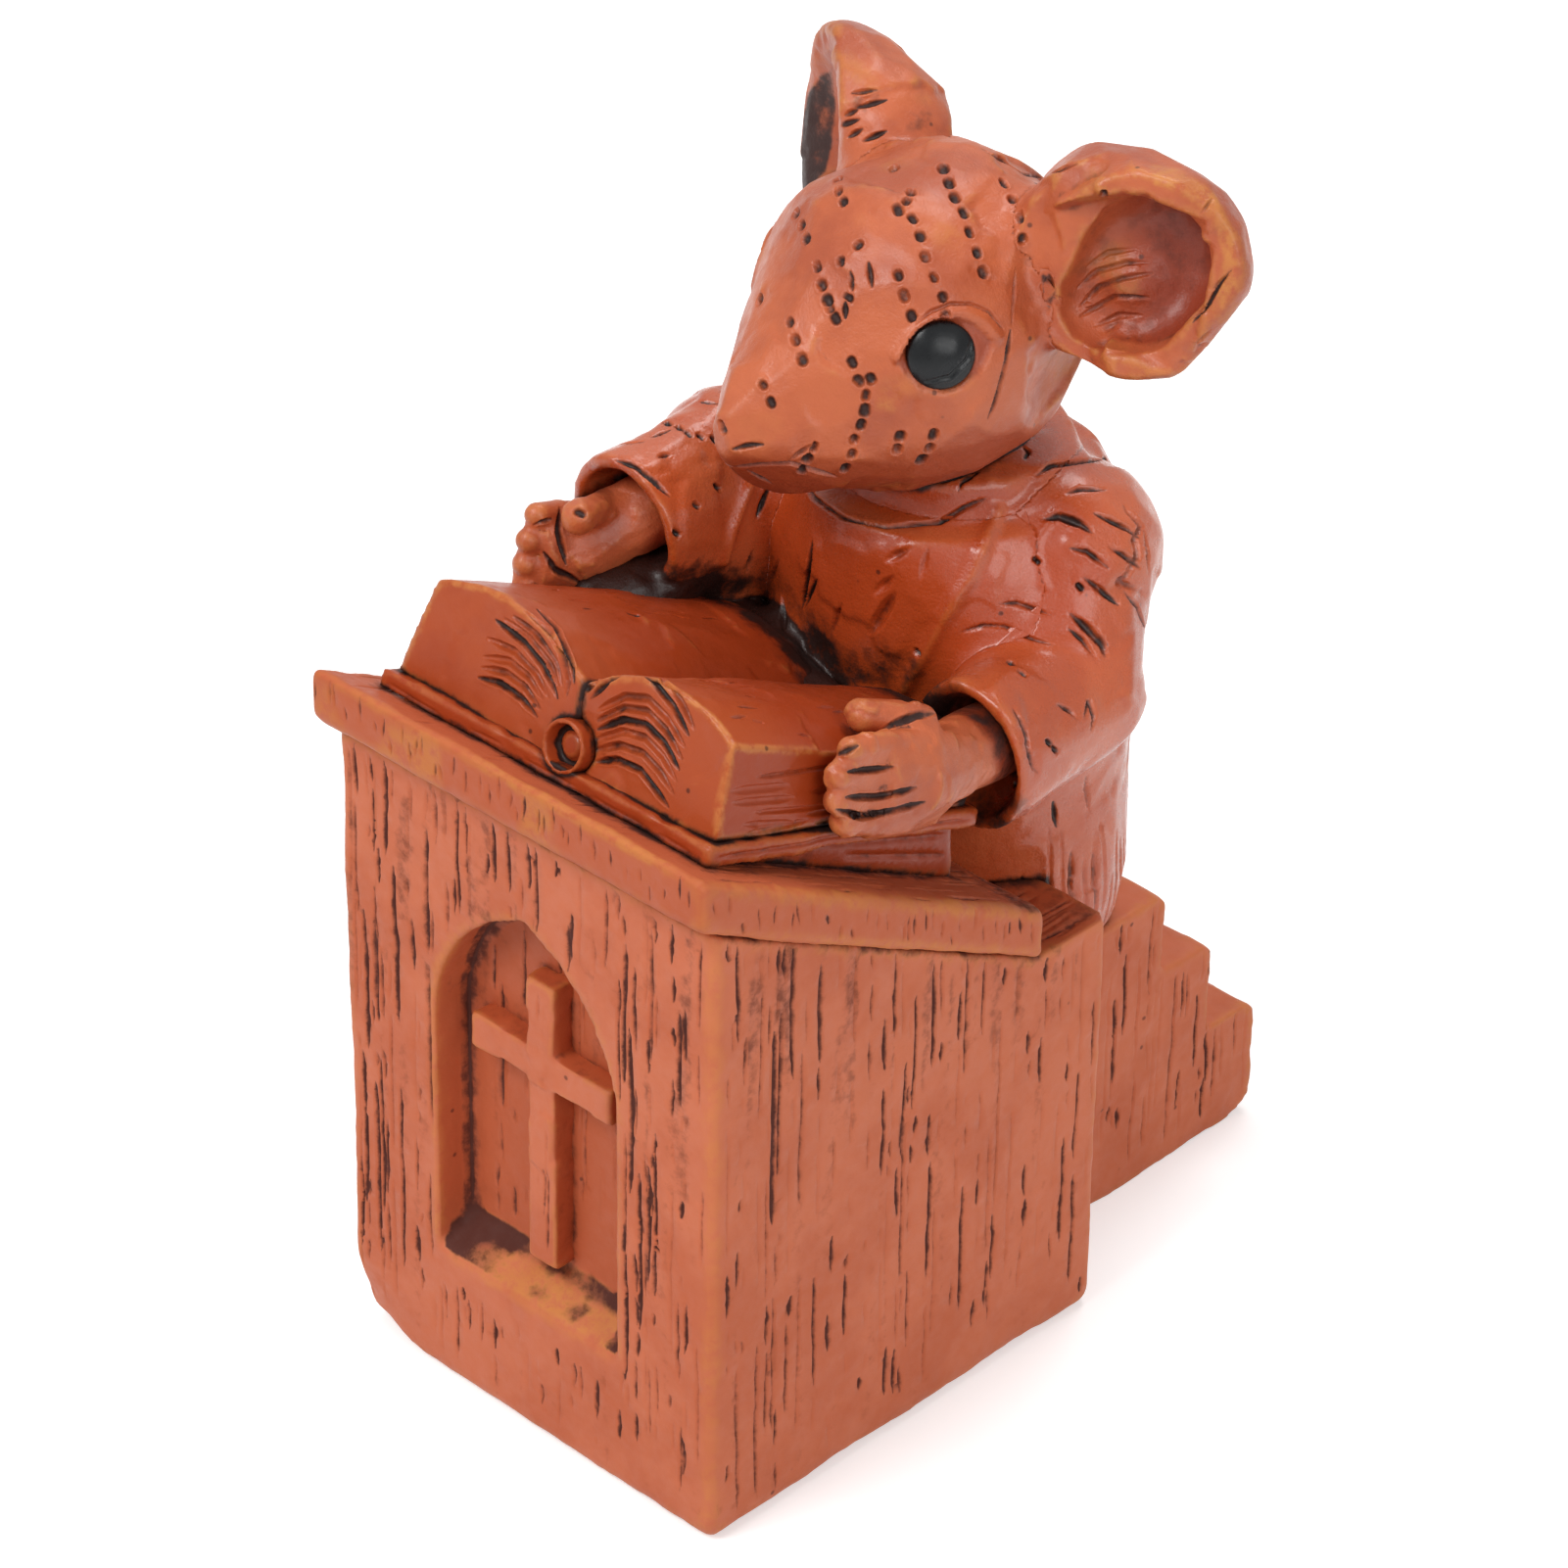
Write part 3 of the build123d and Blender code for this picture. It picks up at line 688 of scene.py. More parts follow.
def resin(name, look):
    finish = bpy.data.materials.new(name)
    finish.use_nodes = True
    tree = finish.node_tree
    shader = tree.nodes["Principled BSDF"]
    stained = tree.nodes.new("ShaderNodeGroup")
    stained.node_tree = resinGroup
    for entry in resinTones:
        stained.inputs[entry].default_value = (*look[entry], 1)
    for entry in resinNumbers:
        stained.inputs[entry].default_value = look[entry]
    bump = node(tree, "ShaderNodeBump", Strength=look["bump"], Distance=look["bumpHeight"] * mm)
    wire(tree, stained, "Color", shader, "Base Color")
    wire(tree, stained, "Roughness", shader, "Roughness")
    if look["Varnish"]:
        wire(tree, stained, "Coat", shader, "Coat Weight")
    wire(tree, stained, "Height", bump, "Height")
    wire(tree, bump, "Normal", shader, "Normal")
    shader.inputs["Coat Roughness"].default_value = look["coatRough"]
    shader.inputs["Specular IOR Level"].default_value = look["specular"]
    return finish


ochreTone = (0.62, 0.27, 0.055)
# dark colour for both the wash and the painted shade
washAndShadeTone = (0.020, 0.006, 0.004)
pulpitFinish = resin("pulpitResin", {
    "Body": (0.57, 0.150, 0.068), "Deep": (0.44, 0.088, 0.030), "Ochre": ochreTone, "WashAndShade": (0.085, 0.021, 0.013),
    "Patch Scale": 95.0, "Gloss Low": 0.46, "Gloss High": 0.64, "Wear Amount": 0.7,
    "bump": 0.4, "bumpHeight": 0.12, "Varnish": 0.0, "coatRough": 0.2, "specular": 0.25})
robeFinish = resin("robeResin", {
    "Body": (0.53, 0.110, 0.036), "Deep": (0.40, 0.050, 0.008), "Ochre": (0.60, 0.20, 0.040), "WashAndShade": washAndShadeTone,
    "Patch Scale": 110.0, "Gloss Low": 0.22, "Gloss High": 0.40, "Wear Amount": 0.4,
    "bump": 0.7, "bumpHeight": 0.2, "Varnish": 0.42, "coatRough": 0.18, "specular": 0.4})
bookFinish = resin("bookResin", {
    "Body": (0.44, 0.083, 0.023), "Deep": (0.31, 0.036, 0.006), "Ochre": (0.60, 0.23, 0.06), "WashAndShade": washAndShadeTone,
    "Patch Scale": 120.0, "Gloss Low": 0.30, "Gloss High": 0.50, "Wear Amount": 0.6,
    "bump": 0.4, "bumpHeight": 0.12, "Varnish": 0.08, "coatRough": 0.16, "specular": 0.25})
mouseFinish = resin("mouseResin", {
    "Body": (0.515, 0.118, 0.041), "Deep": (0.29, 0.043, 0.015), "Ochre": ochreTone, "WashAndShade": (0.034, 0.010, 0.007),
    "Patch Scale": 130.0, "Gloss Low": 0.32, "Gloss High": 0.52, "Wear Amount": 0.6,
    "bump": 0.7, "bumpHeight": 0.18, "Varnish": 0.12, "coatRough": 0.2, "specular": 0.4})
eyeFinish = resin("eyeBlack", {
    "Body": (0.006, 0.007, 0.008), "Deep": (0.010, 0.011, 0.013), "Ochre": (0.04, 0.04, 0.045),
    "WashAndShade": (0.003, 0.003, 0.003), "Patch Scale": 300.0, "Gloss Low": 0.22, "Gloss High": 0.36,
    "Wear Amount": 0.4, "bump": 0.15, "bumpHeight": 0.05, "Varnish": 0.0, "coatRough": 0.08, "specular": 0.3})
print("finishes ready")


# the pulpit

def grainStrokes(dice, across, ends, place, spacing):  # upright graver strokes over one face
    strokes, along = [], across[0]
    while True:
        along += spacing * dice.uniform(0.35, 1.75)
        if along > across[1]:
            return strokes
        low, high = ends(along)
        reach = low + dice.uniform(0, 7)
        while reach < high - 1.2:
            length = min(dice.choice([1.4, 2.4, 3.6, 5.5, 9.0, 14.0]) * dice.uniform(0.7, 1.3), high - reach)
            steps = np.linspace(reach, reach + length, 7)
            sway = along + dice.uniform(-0.2, 0.2) + np.cumsum(dice.uniform(-0.07, 0.07, 7))
            strength = dice.choice([0.1, 0.25, 0.4, 0.6, 0.85, 1.0])
            strokes.append((np.array([place(s, z) for s, z in zip(sway, steps)]),
                            0.17 + 0.29 * strength * dice.uniform(0.6, 1.3), 0.08 + 0.22 * strength, strength))
            reach += length + dice.choice([0.5, 1.4, 3.2, 6.5]) * dice.uniform(0.6, 1.4)


caseLook = {"low": (-19.3, -20.9, 0.0), "high": (19.3, 20.9, 36.0), "ledge": 13.0, "frontRise": 18.02,
            "corner": 0.9, "foot": 1.3, "nicheHalf": 9.5, "nicheSpring": 33.0, "nicheRise": 12.8, "nicheArc": 13.373,
            "nicheFloor": -17.4, "sill": 12.0, "sillFront": -1.5, "sillBack": 2.0, "voxel": 0.4}


def nicheWidth(look, z):
    return look["nicheHalf"] - look["nicheArc"] + math.sqrt(
        max(0.0, look["nicheArc"] ** 2 - max(0.0, z - look["nicheSpring"]) ** 2))


def makeNicheCutter(look):
    half = look["nicheHalf"]
    cutter = addBlock("nicheCutter", (-half, -23, look["sill"]), (half, look["nicheFloor"], look["nicheSpring"]))
    wide, level = half, look["nicheSpring"]
    for step in range(1, 9):
        height = look["nicheSpring"] + look["nicheRise"] * step / 8
        narrow = max(0.2, nicheWidth(look, height))
        centre, normal = faceTable(cutter)
        choose(cutter, "FACE", (normal[:, 2] > 0.9) & (centre[:, 2] > level - 0.05))
        bpy.ops.mesh.extrude_region_move(TRANSFORM_OT_translate={"value": (0, 0, (height - level) * mm)})
        bpy.ops.transform.resize(value=(narrow / wide, 1, 1))
        letGo()
        wide, level = narrow, height
    points = vertexTable(cutter)
    shift(cutter, (points[:, 2] < 12.5) & (points[:, 1] < -20), (0, 0, look["sillFront"]))
    points = vertexTable(cutter)
    shift(cutter, (points[:, 2] < 12.5) & (points[:, 1] > -20), (0, 0, look["sillBack"]))
    return cutter


def paintNiche(case, look):
    points, normals = vertexTable(case), normalTable(case)
    width = np.array([nicheWidth(look, z) for z in points[:, 2]])
    inside = (np.abs(points[:, 0]) < width + 0.4) & (points[:, 2] > 9.5) & (points[:, 2] < 46.6)
    inside &= (points[:, 1] < -17.0) & (points[:, 1] > -20.6)
    wall = inside & (np.abs(normals[:, 0]) > 0.45)
    # the niche's side walls and back painted a deep tone as shade in the recess
    paintMore(case, "deep", np.where(wall | inside & (points[:, 1] > -18.2), 0.75, 0.0))
    sill = inside & (normals[:, 2] > 0.3) & (points[:, 2] < 16)
    pool = lattice(points * (1, 1, 0.3), 2.2, 19)
    paintMore(case, "wear", np.where(sill, 0.5 + 0.5 * pool, 0.0))
    # the sill darker to the left and towards the back of the niche, in patches
    left = np.maximum(ramp(-points[:, 0], 1.5, 8.5), 0.8 * ramp(points[:, 1], -19.0, -18.0))
    sillDarkening = np.clip(left * (0.5 + pool) + 0.8 * ramp(pool, 0.42, 0.7), 0, 1)
    paintMore(case, "washAndShade", np.where(sill, sillDarkening, 0.0))


def makeCase(look):
    case = addBlock("pulpitCase", look["low"], look["high"])
    cutAcross(case, (0, look["ledge"], 0), (0, 1, 0))
    points = vertexTable(case)
    shift(case, (points[:, 2] > 35) & (points[:, 1] < 0), (0, 0, look["frontRise"]))
    middle, way = edgeMiddles(case)
    upright = (np.abs(way[:, :2]).max(1) < 0.1) & (np.abs(middle[:, 1]) > 20)
    roundEdges(case, upright, look["corner"], 3)
    middle = edgeMiddles(case)[0]
    foot = (middle[:, 2] < 0.1) & (np.abs(middle[:, 0]) + np.abs(middle[:, 1]) > 15)
    roundEdges(case, foot, look["foot"], 3)
    cutter = makeNicheCutter(look)
    useModifier(case, "BOOLEAN", operation="DIFFERENCE", object=cutter, solver="EXACT")
    bpy.data.objects.remove(cutter)
    remeshed(case, look["voxel"], 3)
    points = vertexTable(case)
    corner = ramp(np.linalg.norm(points - look["low"], axis=1), 8, 0)  # the worn corner at the front
    setVertexTable(case, points + np.outer(corner, (0.9, 0.7, 0.9)))
    roughen(case, (0.12, 6.0, 3), (0.07, 1.8, 4), (0.035, 0.7, 5))
    wearAndHollow(case, 4, 0.10, 0.34, 0.35, 0.12, 0.4, 0.6)
    contactWashAndShade(case, ("pulpit_case", "front_cross"), 0.9, 0.6)
    contactWashAndShade(case, [n for n in nodeTrees if n != "front_cross"], 0.6, 0.5)
    paintNiche(case, look)
    points = vertexTable(case)
    streaks = ramp(lattice(points * (2.4, 2.4, 0.14), 1.6, 21), 0.5, 0.85)  # thin wash that ran down
    paintMore(case, "washAndShade", streaks * (0.22 + 0.2 * ramp(points[:, 2], 22, 46)))

    dice = np.random.RandomState(11)
    (side, back, top), front = look["high"], look["low"][1]
    slope = look["frontRise"] / (look["ledge"] - front)

    def inNiche(p, margin):
        return 9.8 < p[2] < 46.4 and abs(p[0]) < nicheWidth(look, p[2]) + margin

    lines = []
    for points, *facts in grainStrokes(dice, (-18.6, 18.6), lambda x: (1.4, 53.0), lambda x, z: (x, front, z), 1.0):
        points = np.array([p for p in points if not inNiche(p, 0.5)])
        if len(points) > 2:
            lines.append((points, *facts))
    for way in (-1, 1):  # dark wash and painted shade along the inner corner of the niche
        path = [(way * (nicheWidth(look, z) - 0.1), -17.5, z) for z in np.linspace(14.5, 45.0, 24)]
        lines.append((path, 0.42, 0.1, 0.95))
    for x in (10.4, 11.0, 11.9, 12.8, 13.5, -18.2, -17.6, -16.9):  # heavy cuts at the niche and the left edge
        low = dice.uniform(6, 30)
        path = [(x, front, low), (x + 0.2, front, low + 5), (x, front, low + dice.uniform(8, 15))]
        lines.append((path, 0.46, 0.3, 1.0))
    floor = look["nicheFloor"]
    for points, w, d, k in grainStrokes(dice, (-8.6, 8.6), lambda x: (15.0, 43.0), lambda x, z: (x, floor, z), 1.1):
        if all(inNiche(p, -0.7) for p in points):
            lines.append((points, w * 0.9, d * 0.8, k * 0.8))
    for way in (1, -1):
        lines += grainStrokes(dice, (-20.2, 20.2), lambda y: (1.4, 35.5 + slope * max(0, look["ledge"] - y)),
                              lambda y, z, s=way: (s * side, y, z), 1.1)
    lines += grainStrokes(dice, (-18.6, 18.6), lambda x: (1.4, 35.0), lambda x, z: (x, back, z), 1.2)
    for x in np.arange(-18.5, 18.8, 0.55):  # the ledge behind the board
        y = 13.4 + dice.uniform(0, 2.5)
        path = [(x, y, top), (x + dice.uniform(-0.3, 0.3), min(20.6, y + dice.uniform(1.5, 6)), top)]
        lines.append(cut(dice, path, (0.2, 0.4), (0.1, 0.22), (0.2, 0.8)))
    points, normals = vertexTable(case), normalTable(case)
    # the ledge behind the board painted deeper and darker, as the shade under the board and robe
    ledge = ramp(points[:, 1], 12.5, 13.5) * ramp(normals[:, 2], 0.5, 0.9)
    paintMore(case, "deep", ledge)
    paintMore(case, "washAndShade", ledge * 0.55 * lattice(points * (2, 0.5, 1), 1.4, 18))
    return cutAll(case, lines, 2)


case = makeCase(caseLook)
hand(case, "pulpit_case", pulpitFinish)
print("case carved,", len(case.data.polygons), "faces")

crossLook = {"half": 1.45, "low": 14.8, "high": 39.8, "arm": 32.4, "span": 7.2, "front": -19.3, "back": -17.0,
             "remesh": (0.2, 3), "rough": [(0.06, 2.2, 7), (0.05, 0.9, 8)], "facets": (60, 0.1, 9),
             "wear": (4, 0.35, 0.9, 0.4, 0.2, 0.7, 0.4)}


def makeCross(look):
    half = look["half"]
    cross = addBlock("frontCross", (-half, look["front"], look["low"]), (half, look["back"], look["high"]))
    for edge in (-half, half):
        cutAcross(cross, (0, 0, look["arm"] + edge), (0, 0, 1))
    for side in (1, -1):
        centre, normal = faceTable(cross)
        pullOut(cross, (normal[:, 0] * side > 0.9) & (abs(centre[:, 2] - look["arm"]) < half * 0.9),
                (side * (look["span"] - half), 0, 0))
    roundEdges(cross, edgeMiddles(cross)[0][:, 1] < look["front"] + 0.1, 0.25, 2)
    dress(cross, look)
    points, normals = vertexTable(cross), normalTable(cross)
    # faces turned away from the front painted deeper and darker as shade
    sides = ramp(-np.abs(normals[:, 1]), -0.8, -0.4)
    paintMore(cross, "deep", sides)
    paintMore(cross, "washAndShade", 0.3 * sides * lattice(points, 1.8, 15))
    # darker towards the back where the cross meets the niche: dark wash and painted shade
    paintMore(cross, "washAndShade", ramp(points[:, 1], -18.3, -17.3) * 0.45 * lattice(points, 1.5, 12))
    dice = np.random.RandomState(14)
    lines = grainStrokes(dice, (-1.2, 1.2), lambda x: (16.0, 39.0), lambda x, z: (x, look["front"], z), 0.9)
    engrave(cross, [(p, w * 0.7, d * 0.5, k * 0.6) for p, w, d, k in lines], cuts=1)
    smoothFaces(cross)
    return cross


cross = makeCross(crossLook)
hand(cross, "front_cross", pulpitFinish)

boardLook = {"low": (-20.0, -22.8, 36.0), "high": (20.0, 13.0, 40.53), "rise": 19.035, "round": 0.8,
             "remesh": (0.36, 2), "rough": [(0.10, 5.0, 23), (0.07, 1.8, 24), (0.04, 0.8, 25)],
             "wear": (4, 0.12, 0.4, 0.45, 0.2, 0.6, 0.5), "contact": (1.5, 0.7)}


def makeBoard(look):
    board = addBlock("deskBoard", look["low"], look["high"])
    points = vertexTable(board)
    shift(board, points[:, 1] < 0, (0, 0, look["rise"]))
    middle, way = edgeMiddles(board)
    roundEdges(board, (abs(way[:, 0]) > 30) | (abs(middle[:, 0]) > 19), look["round"], 3)
    middle, way = edgeMiddles(board)
    roundEdges(board, (abs(way[:, 0]) > 30) & (middle[:, 1] > 12) & (middle[:, 2] > 38), 0.6, 3)
    dress(board, look, "desk_board", "pulpit_case")
    points, normals = vertexTable(board), normalTable(board)
    front = ramp(-normals[:, 1], 0.45, 0.8)
    paintMore(board, "wear", 0.5 * front * ramp(lattice(points, 3.6, 27), 0.52, 0.78))
    paintMore(board, "deep", 0.6 + 0.25 * front)
    # the rear of the sloping top, under the book and the lap, painted deeper and darker as shade; upward faces a
    # deeper tone
    ledge = ramp(points[:, 1], 6.5, 12.0) * ramp(normals[:, 2], 0.3, 0.7)
    paintMore(board, "deep", np.maximum(ledge, 0.8 * ramp(normals[:, 2], 0.5, 0.8)))
    paintMore(board, "washAndShade", ledge * (0.2 + 0.5 * lattice(points * (0.4, 2, 1), 1.2, 28)))
    dice = np.random.RandomState(21)
    slope = math.tan(math.radians(28))
    side, rear, rearTop = look["high"]
    front = look["low"][1]
    across, deep = (0.2, 0.36), (0.1, 0.2)  # widths and depths of the cuts

    def top(x, y):
        return (x, y, rearTop + slope * (rear - y))

    lines = []
    for x in np.arange(-19.2, 19.4, 0.75):
        y = -22 + dice.uniform(0, 9)
        while y < 12:
            length, aside = dice.uniform(1.5, 7), x + dice.uniform(-0.3, 0.3)
            path = [top(aside, y), top(aside + dice.uniform(-0.2, 0.2), min(12.8, y + length))]
            lines.append(cut(dice, path, across, deep, (0.1, 0.75)))
            y += length + dice.uniform(1, 8)
    x = -19.4
    while x < 19.3:
        low = 55.7 + dice.uniform(0, 1.6)
        path = [(x, front, low), (x + dice.uniform(-0.2, 0.2), front, low + dice.uniform(0.9, 2.6))]
        lines.append(cut(dice, path, across, deep, (0.3, 0.95)))
        x += dice.uniform(0.4, 1.7)
    for way in (side, -side):
        y = -21.5
        while y < 12:
            low = 36.6 + dice.uniform(0, 1.8) + slope * (rear - y)
            path = [(way, y, low), (way, y + dice.uniform(-0.3, 0.3), low + dice.uniform(0.8, 2.2))]
            lines.append(cut(dice, path, across, deep, (0.3, 0.95)))
            y += dice.uniform(0.5, 1.8)
    return cutAll(board, lines, 2)


board = makeBoard(boardLook)
hand(board, "desk_board", pulpitFinish)

stairLook = {"low": (-11.8, 20.7, 0.0), "high": (11.2, 49.3, 10.56), "noses": (49.3, 43.39, 37.4),
             "tops": (10.56, 19.0, 26.4), "rises": (8.44, 7.4), "round": 1.5, "foot": 2.4,
             "remesh": (0.36, 4), "rough": [(0.14, 4.5, 33), (0.12, 1.9, 34), (0.04, 0.7, 35)],
             "wear": (4, 0.12, 0.4, 0.35, 0.12, 0.4, 0.55), "contact": (0.9, 0.7)}


def makeStairs(look):
    stairs = addBlock("stairBlock", look["low"], look["high"])
    for nose in look["noses"][1:]:
        cutAcross(stairs, (0, nose, 0), (0, 1, 0))
    for nose, rise in zip(look["noses"][1:], look["rises"]):
        centre, normal = faceTable(stairs)
        pullOut(stairs, (normal[:, 2] > 0.9) & (centre[:, 1] < nose), (0, 0, rise))
    middle, way = edgeMiddles(stairs)
    spots = zip(look["noses"], look["tops"])
    noses = np.any([(abs(middle[:, 1] - y) < 0.1) & (abs(middle[:, 2] - z) < 0.1) for y, z in spots], 0)
    roundEdges(stairs, noses & (abs(way[:, 0]) > 20), look["round"], 4)
    middle, way = edgeMiddles(stairs)
    roundEdges(stairs, (abs(way[:, 0]) > 20) & (middle[:, 1] > 49) & (middle[:, 2] < 0.1), look["foot"], 4)
    dress(stairs, look, "stair_block")
    dice = np.random.RandomState(31)
    lines = []

    def height(y):
        return 10.2 if y > 43.4 else 18.6 if y > 37.4 else 26.0

    for side in (look["low"][0], look["high"][0]):
        lines += grainStrokes(dice, (21.2, 48.6), lambda y: (0.8, height(y + 0.3)),
                              lambda y, z, s=side: (s, y, z), 0.95)
    for y, low, high in zip(look["noses"], (0.8, 10.9, 19.4), (9.4, 18.0, 25.4)):
        lines += grainStrokes(dice, (-11.2, 10.8), lambda x, a=low, b=high: (a, b),
                              lambda x, z, s=y: (x, s, z), 1.1)
    return cutAll(stairs, lines, 2)


stairs = makeStairs(stairLook)
hand(stairs, "stair_block", pulpitFinish)
print("pulpit pieces done")


# the book

bookLook = {"front": (0.0, -19.0, 57.545), "tilt": -18.5, "length": 29.0, "half": 16.6, "board": 1.4,
            "spine": 1.4, "rollRadius": 2.0, "rollHeight": 2.7}


def tiltBook(piece):
    take(piece)
    piece.location = Vector(bookLook["front"]) * mm
    piece.rotation_euler = (math.radians(bookLook["tilt"]), 0, 0)
    bpy.ops.object.transform_apply(location=True, rotation=True, scale=True)


def inBook(x, along, height):
    lean = math.radians(-bookLook["tilt"])
    return (x, bookLook["front"][1] + along * math.cos(lean) + height * math.sin(lean),
            bookLook["front"][2] - along * math.sin(lean) + height * math.cos(lean))


restLook = {"low": (-14.6, -18.9, 42.75), "high": (14.6, 8.5, 48.3), "underRise": 14.5, "topRise": 9.2,
            "remesh": (0.4, 1), "rough": [(0.12, 3.0, 43), (0.06, 1.2, 44)],
            "wear": (4, 0.2, 0.6, 0.3, 0.15, 0.5, 0.5), "contact": (0.7, 0.8)}


def makeRest(look):
    rest = addBlock("bookRest", look["low"], look["high"])
    for below, rise in ((44, look["underRise"]), (50, look["topRise"])):
        points = vertexTable(rest)
        shift(rest, (points[:, 1] < 0) & (points[:, 2] < below), (0, 0, rise))
    roundEdges(rest, edgeMiddles(rest)[0][:, 1] > 8, 0.4, 2)
    dress(rest, look, "book_rest")
    points = vertexTable(rest)
    # the whole rest painted a deep tone, as the shade under the book
    paintMore(rest, "deep", np.full(len(points), 0.9))
    paintMore(rest, "washAndShade", 0.3 * ramp(lattice(points * (1, 0.4, 1.5), 1.6, 45), 0.5, 0.8))
    lines = []
    for side in (look["low"][0], look["high"][0]):
        for drop in (0.3, 0.62):  # share of the way down the sloping side
            path = []
            for y in (-8 + 8 * drop, 7.6):
                under, over = (57.5 - 14.62 * (y + 19) / 27.5), (57.54 - 9.2 * (y + 19) / 27.5)
                path.append((side, y, under * drop + over * (1 - drop)))
            lines.append((path, 0.5, 0.2, 0.35))
    return cutAll(rest, lines, 1)


rest = makeRest(restLook)
hand(rest, "book_rest", bookFinish)


coverLook = {"hinge": 2.2, "remesh": (0.22, 1), "rough": [(0.2, 3.4, 53), (0.12, 1.3, 54)],
             "wear": (4, 0.25, 0.7, 0.4, 0.2, 0.6, 0.6), "contact": (0.7, 0.9)}


def makeCover(look):
    half = bookLook["half"]
    cover = addBlock("bookCover", (-half, 0, 0), (half, bookLook["length"], bookLook["board"]))
    for side in (-look["hinge"], look["hinge"]):
        cutAcross(cover, (bookLook["spine"] + side, 0, 0), (1, 0, 0))
    middle, way = edgeMiddles(cover)
    ends = (middle[:, 2] > 1.3) & (abs(middle[:, 0]) > 16)
    roundEdges(cover, ends | (middle[:, 1] < 0.1) & (abs(way[:, 0]) > 3), 0.2, 2)
    tiltBook(cover)
    dress(cover, look, "book_cover")
    paintMore(cover, "deep", 0.55 + 0.4 * lattice(vertexTable(cover), 2.5, 55))
    dice = np.random.RandomState(51)
    lines = []
    x = -16.2
    while x < 15.5:
        length = dice.uniform(2, 8)
        path = [inBook(x, -0.1, 0.5), inBook(min(16.3, x + length), -0.1, 0.5 + dice.uniform(-0.15, 0.15))]
        lines.append((path, 0.3, 0.12, dice.uniform(0.1, 0.7)))
        x += length + dice.uniform(0.5, 4)
    for side in (-16.7, 16.7):
        path = [inBook(side, 0.8, 0.7), inBook(side, 14, 0.8), inBook(side, 28, 0.7)]
        lines.append((path, 0.35, 0.14, 0.35))
    return cutAll(cover, lines, 1)


cover = makeCover(coverLook)
hand(cover, "book_cover", bookFinish)

pageStrokes = {  # leaf lines at the front ends of the pages, in the photo"s pixels
    "right": [
        [(506, 633), (534, 656), (553, 679), (565, 702), (569, 713)],
        [(494, 671), (519, 675), (538, 690), (553, 713)],
        [(538, 625), (561, 644), (573, 667), (580, 694), (578, 711)],
        [(488, 692), (511, 698), (532, 713), (548, 732)], [(515, 632), (541, 653), (560, 677), (570, 700)],
        [(524, 629), (549, 650), (566, 675), (574, 700)], [(549, 622), (569, 642), (581, 668), (586, 697)],
        [(498, 652), (525, 665), (547, 688), (560, 712)], [(492, 682), (516, 687), (536, 702), (551, 724)],
    ],
    "left": [
        [(603, 713), (622, 694), (645, 686), (664, 692), (687, 721), (703, 751)],
        [(611, 725), (638, 711), (661, 713), (680, 732), (699, 763)],
        [(610, 736), (636, 723), (660, 726), (679, 745), (696, 775)],
        [(610, 745), (636, 735), (660, 740), (678, 759), (693, 786)],
        [(609, 755), (635, 747), (658, 753), (676, 772), (690, 797)],
        [(608, 766), (633, 761), (656, 769), (673, 787), (687, 810)],
        [(607, 778), (630, 776), (653, 786), (668, 805), (682, 824)],
        [(600, 703), (621, 683), (647, 677), (670, 685), (695, 716), (709, 745)],
    ],
}


def makePages(name, nodeName, side, seed):
    pages = castCopy(name, nodeName)
    remeshed(pages, 0.24, 6)
    roughen(pages, (0.14, 4.0, seed), (0.05, 1.4, seed + 1))
    facets(pages, 90, 0.08, seed + 2)
    wearAndHollow(pages, 4, 0.2, 0.6, 1.0, 0.2, 0.6, 0.5)
    contactWashAndShade(pages, (nodeName,), 0.8, 0.9)
    points = vertexTable(pages)
    lean = math.radians(-bookLook["tilt"])
    rear = (points - inBook(0, 0, 0)) @ (0, math.cos(lean), -math.sin(lean))  # mm from the front ends
    # the rear ends, under the lap, darkened: dark wash and painted shade
    paintMore(pages, "washAndShade", 1.1 * ramp(rear, 23.5, 27.5) * (0.4 + 0.8 * lattice(points, 1.6, seed + 3)))
    edge = ramp(side * normalTable(pages)[:, 0], 0.4, 0.8)
    paintMore(pages, "deep", np.maximum(0.3 + 0.6 * ramp(rear, 2.0, 11.0), 0.75 * edge))
    tree = surfaceTree(pages)
    dice = np.random.RandomState(seed)
    lines = []
    for k, stroke in enumerate(pageStrokes["left" if side > 0 else "right"]):
        lines += fromPhoto(tree, stroke, 0.62, 0.4, (0.85, 0.35, 0.5)[k % 3])
    for height in (1.9, 2.7, 3.5, 4.4, 5.3, 6.1):
        along = 0.8 + dice.uniform(0, 4)
        while along < 27:
            length = dice.uniform(5, 12)
            path = [inBook(side * 16.8, along, height),
                    inBook(side * 16.8, min(28.0, along + length), height + dice.uniform(-0.5, 0.5))]
            lines.append(onSurface(tree, path, dice.uniform(0.4, 0.7), 0.2, dice.uniform(0.0, 0.4)))
            along += length + dice.uniform(1, 6)
    for height in np.arange(2.2, 7.4, 0.8):  # leaf ends at the rear
        path = [inBook(bookLook["spine"] + side * 2.5, 29.5, height * 0.75), inBook(side * 15.5, 29.5, height)]
        lines.append(onSurface(tree, path, 0.36, 0.22, 0.7))
    for _ in range(30):  # dashes over the open pages
        x, along = side * dice.uniform(5.5, 15), dice.uniform(3, 26)
        path = [inBook(x, along, 9), inBook(x + dice.uniform(-0.3, 0.3), along + dice.uniform(0.5, 2.2), 9)]
        lines.append(onSurface(tree, *cut(dice, path, (0.2, 0.4), (0.08, 0.2), (0.2, 0.8))))
    engrave(pages, lines, cuts=2)
    smoothFaces(pages)
    return pages


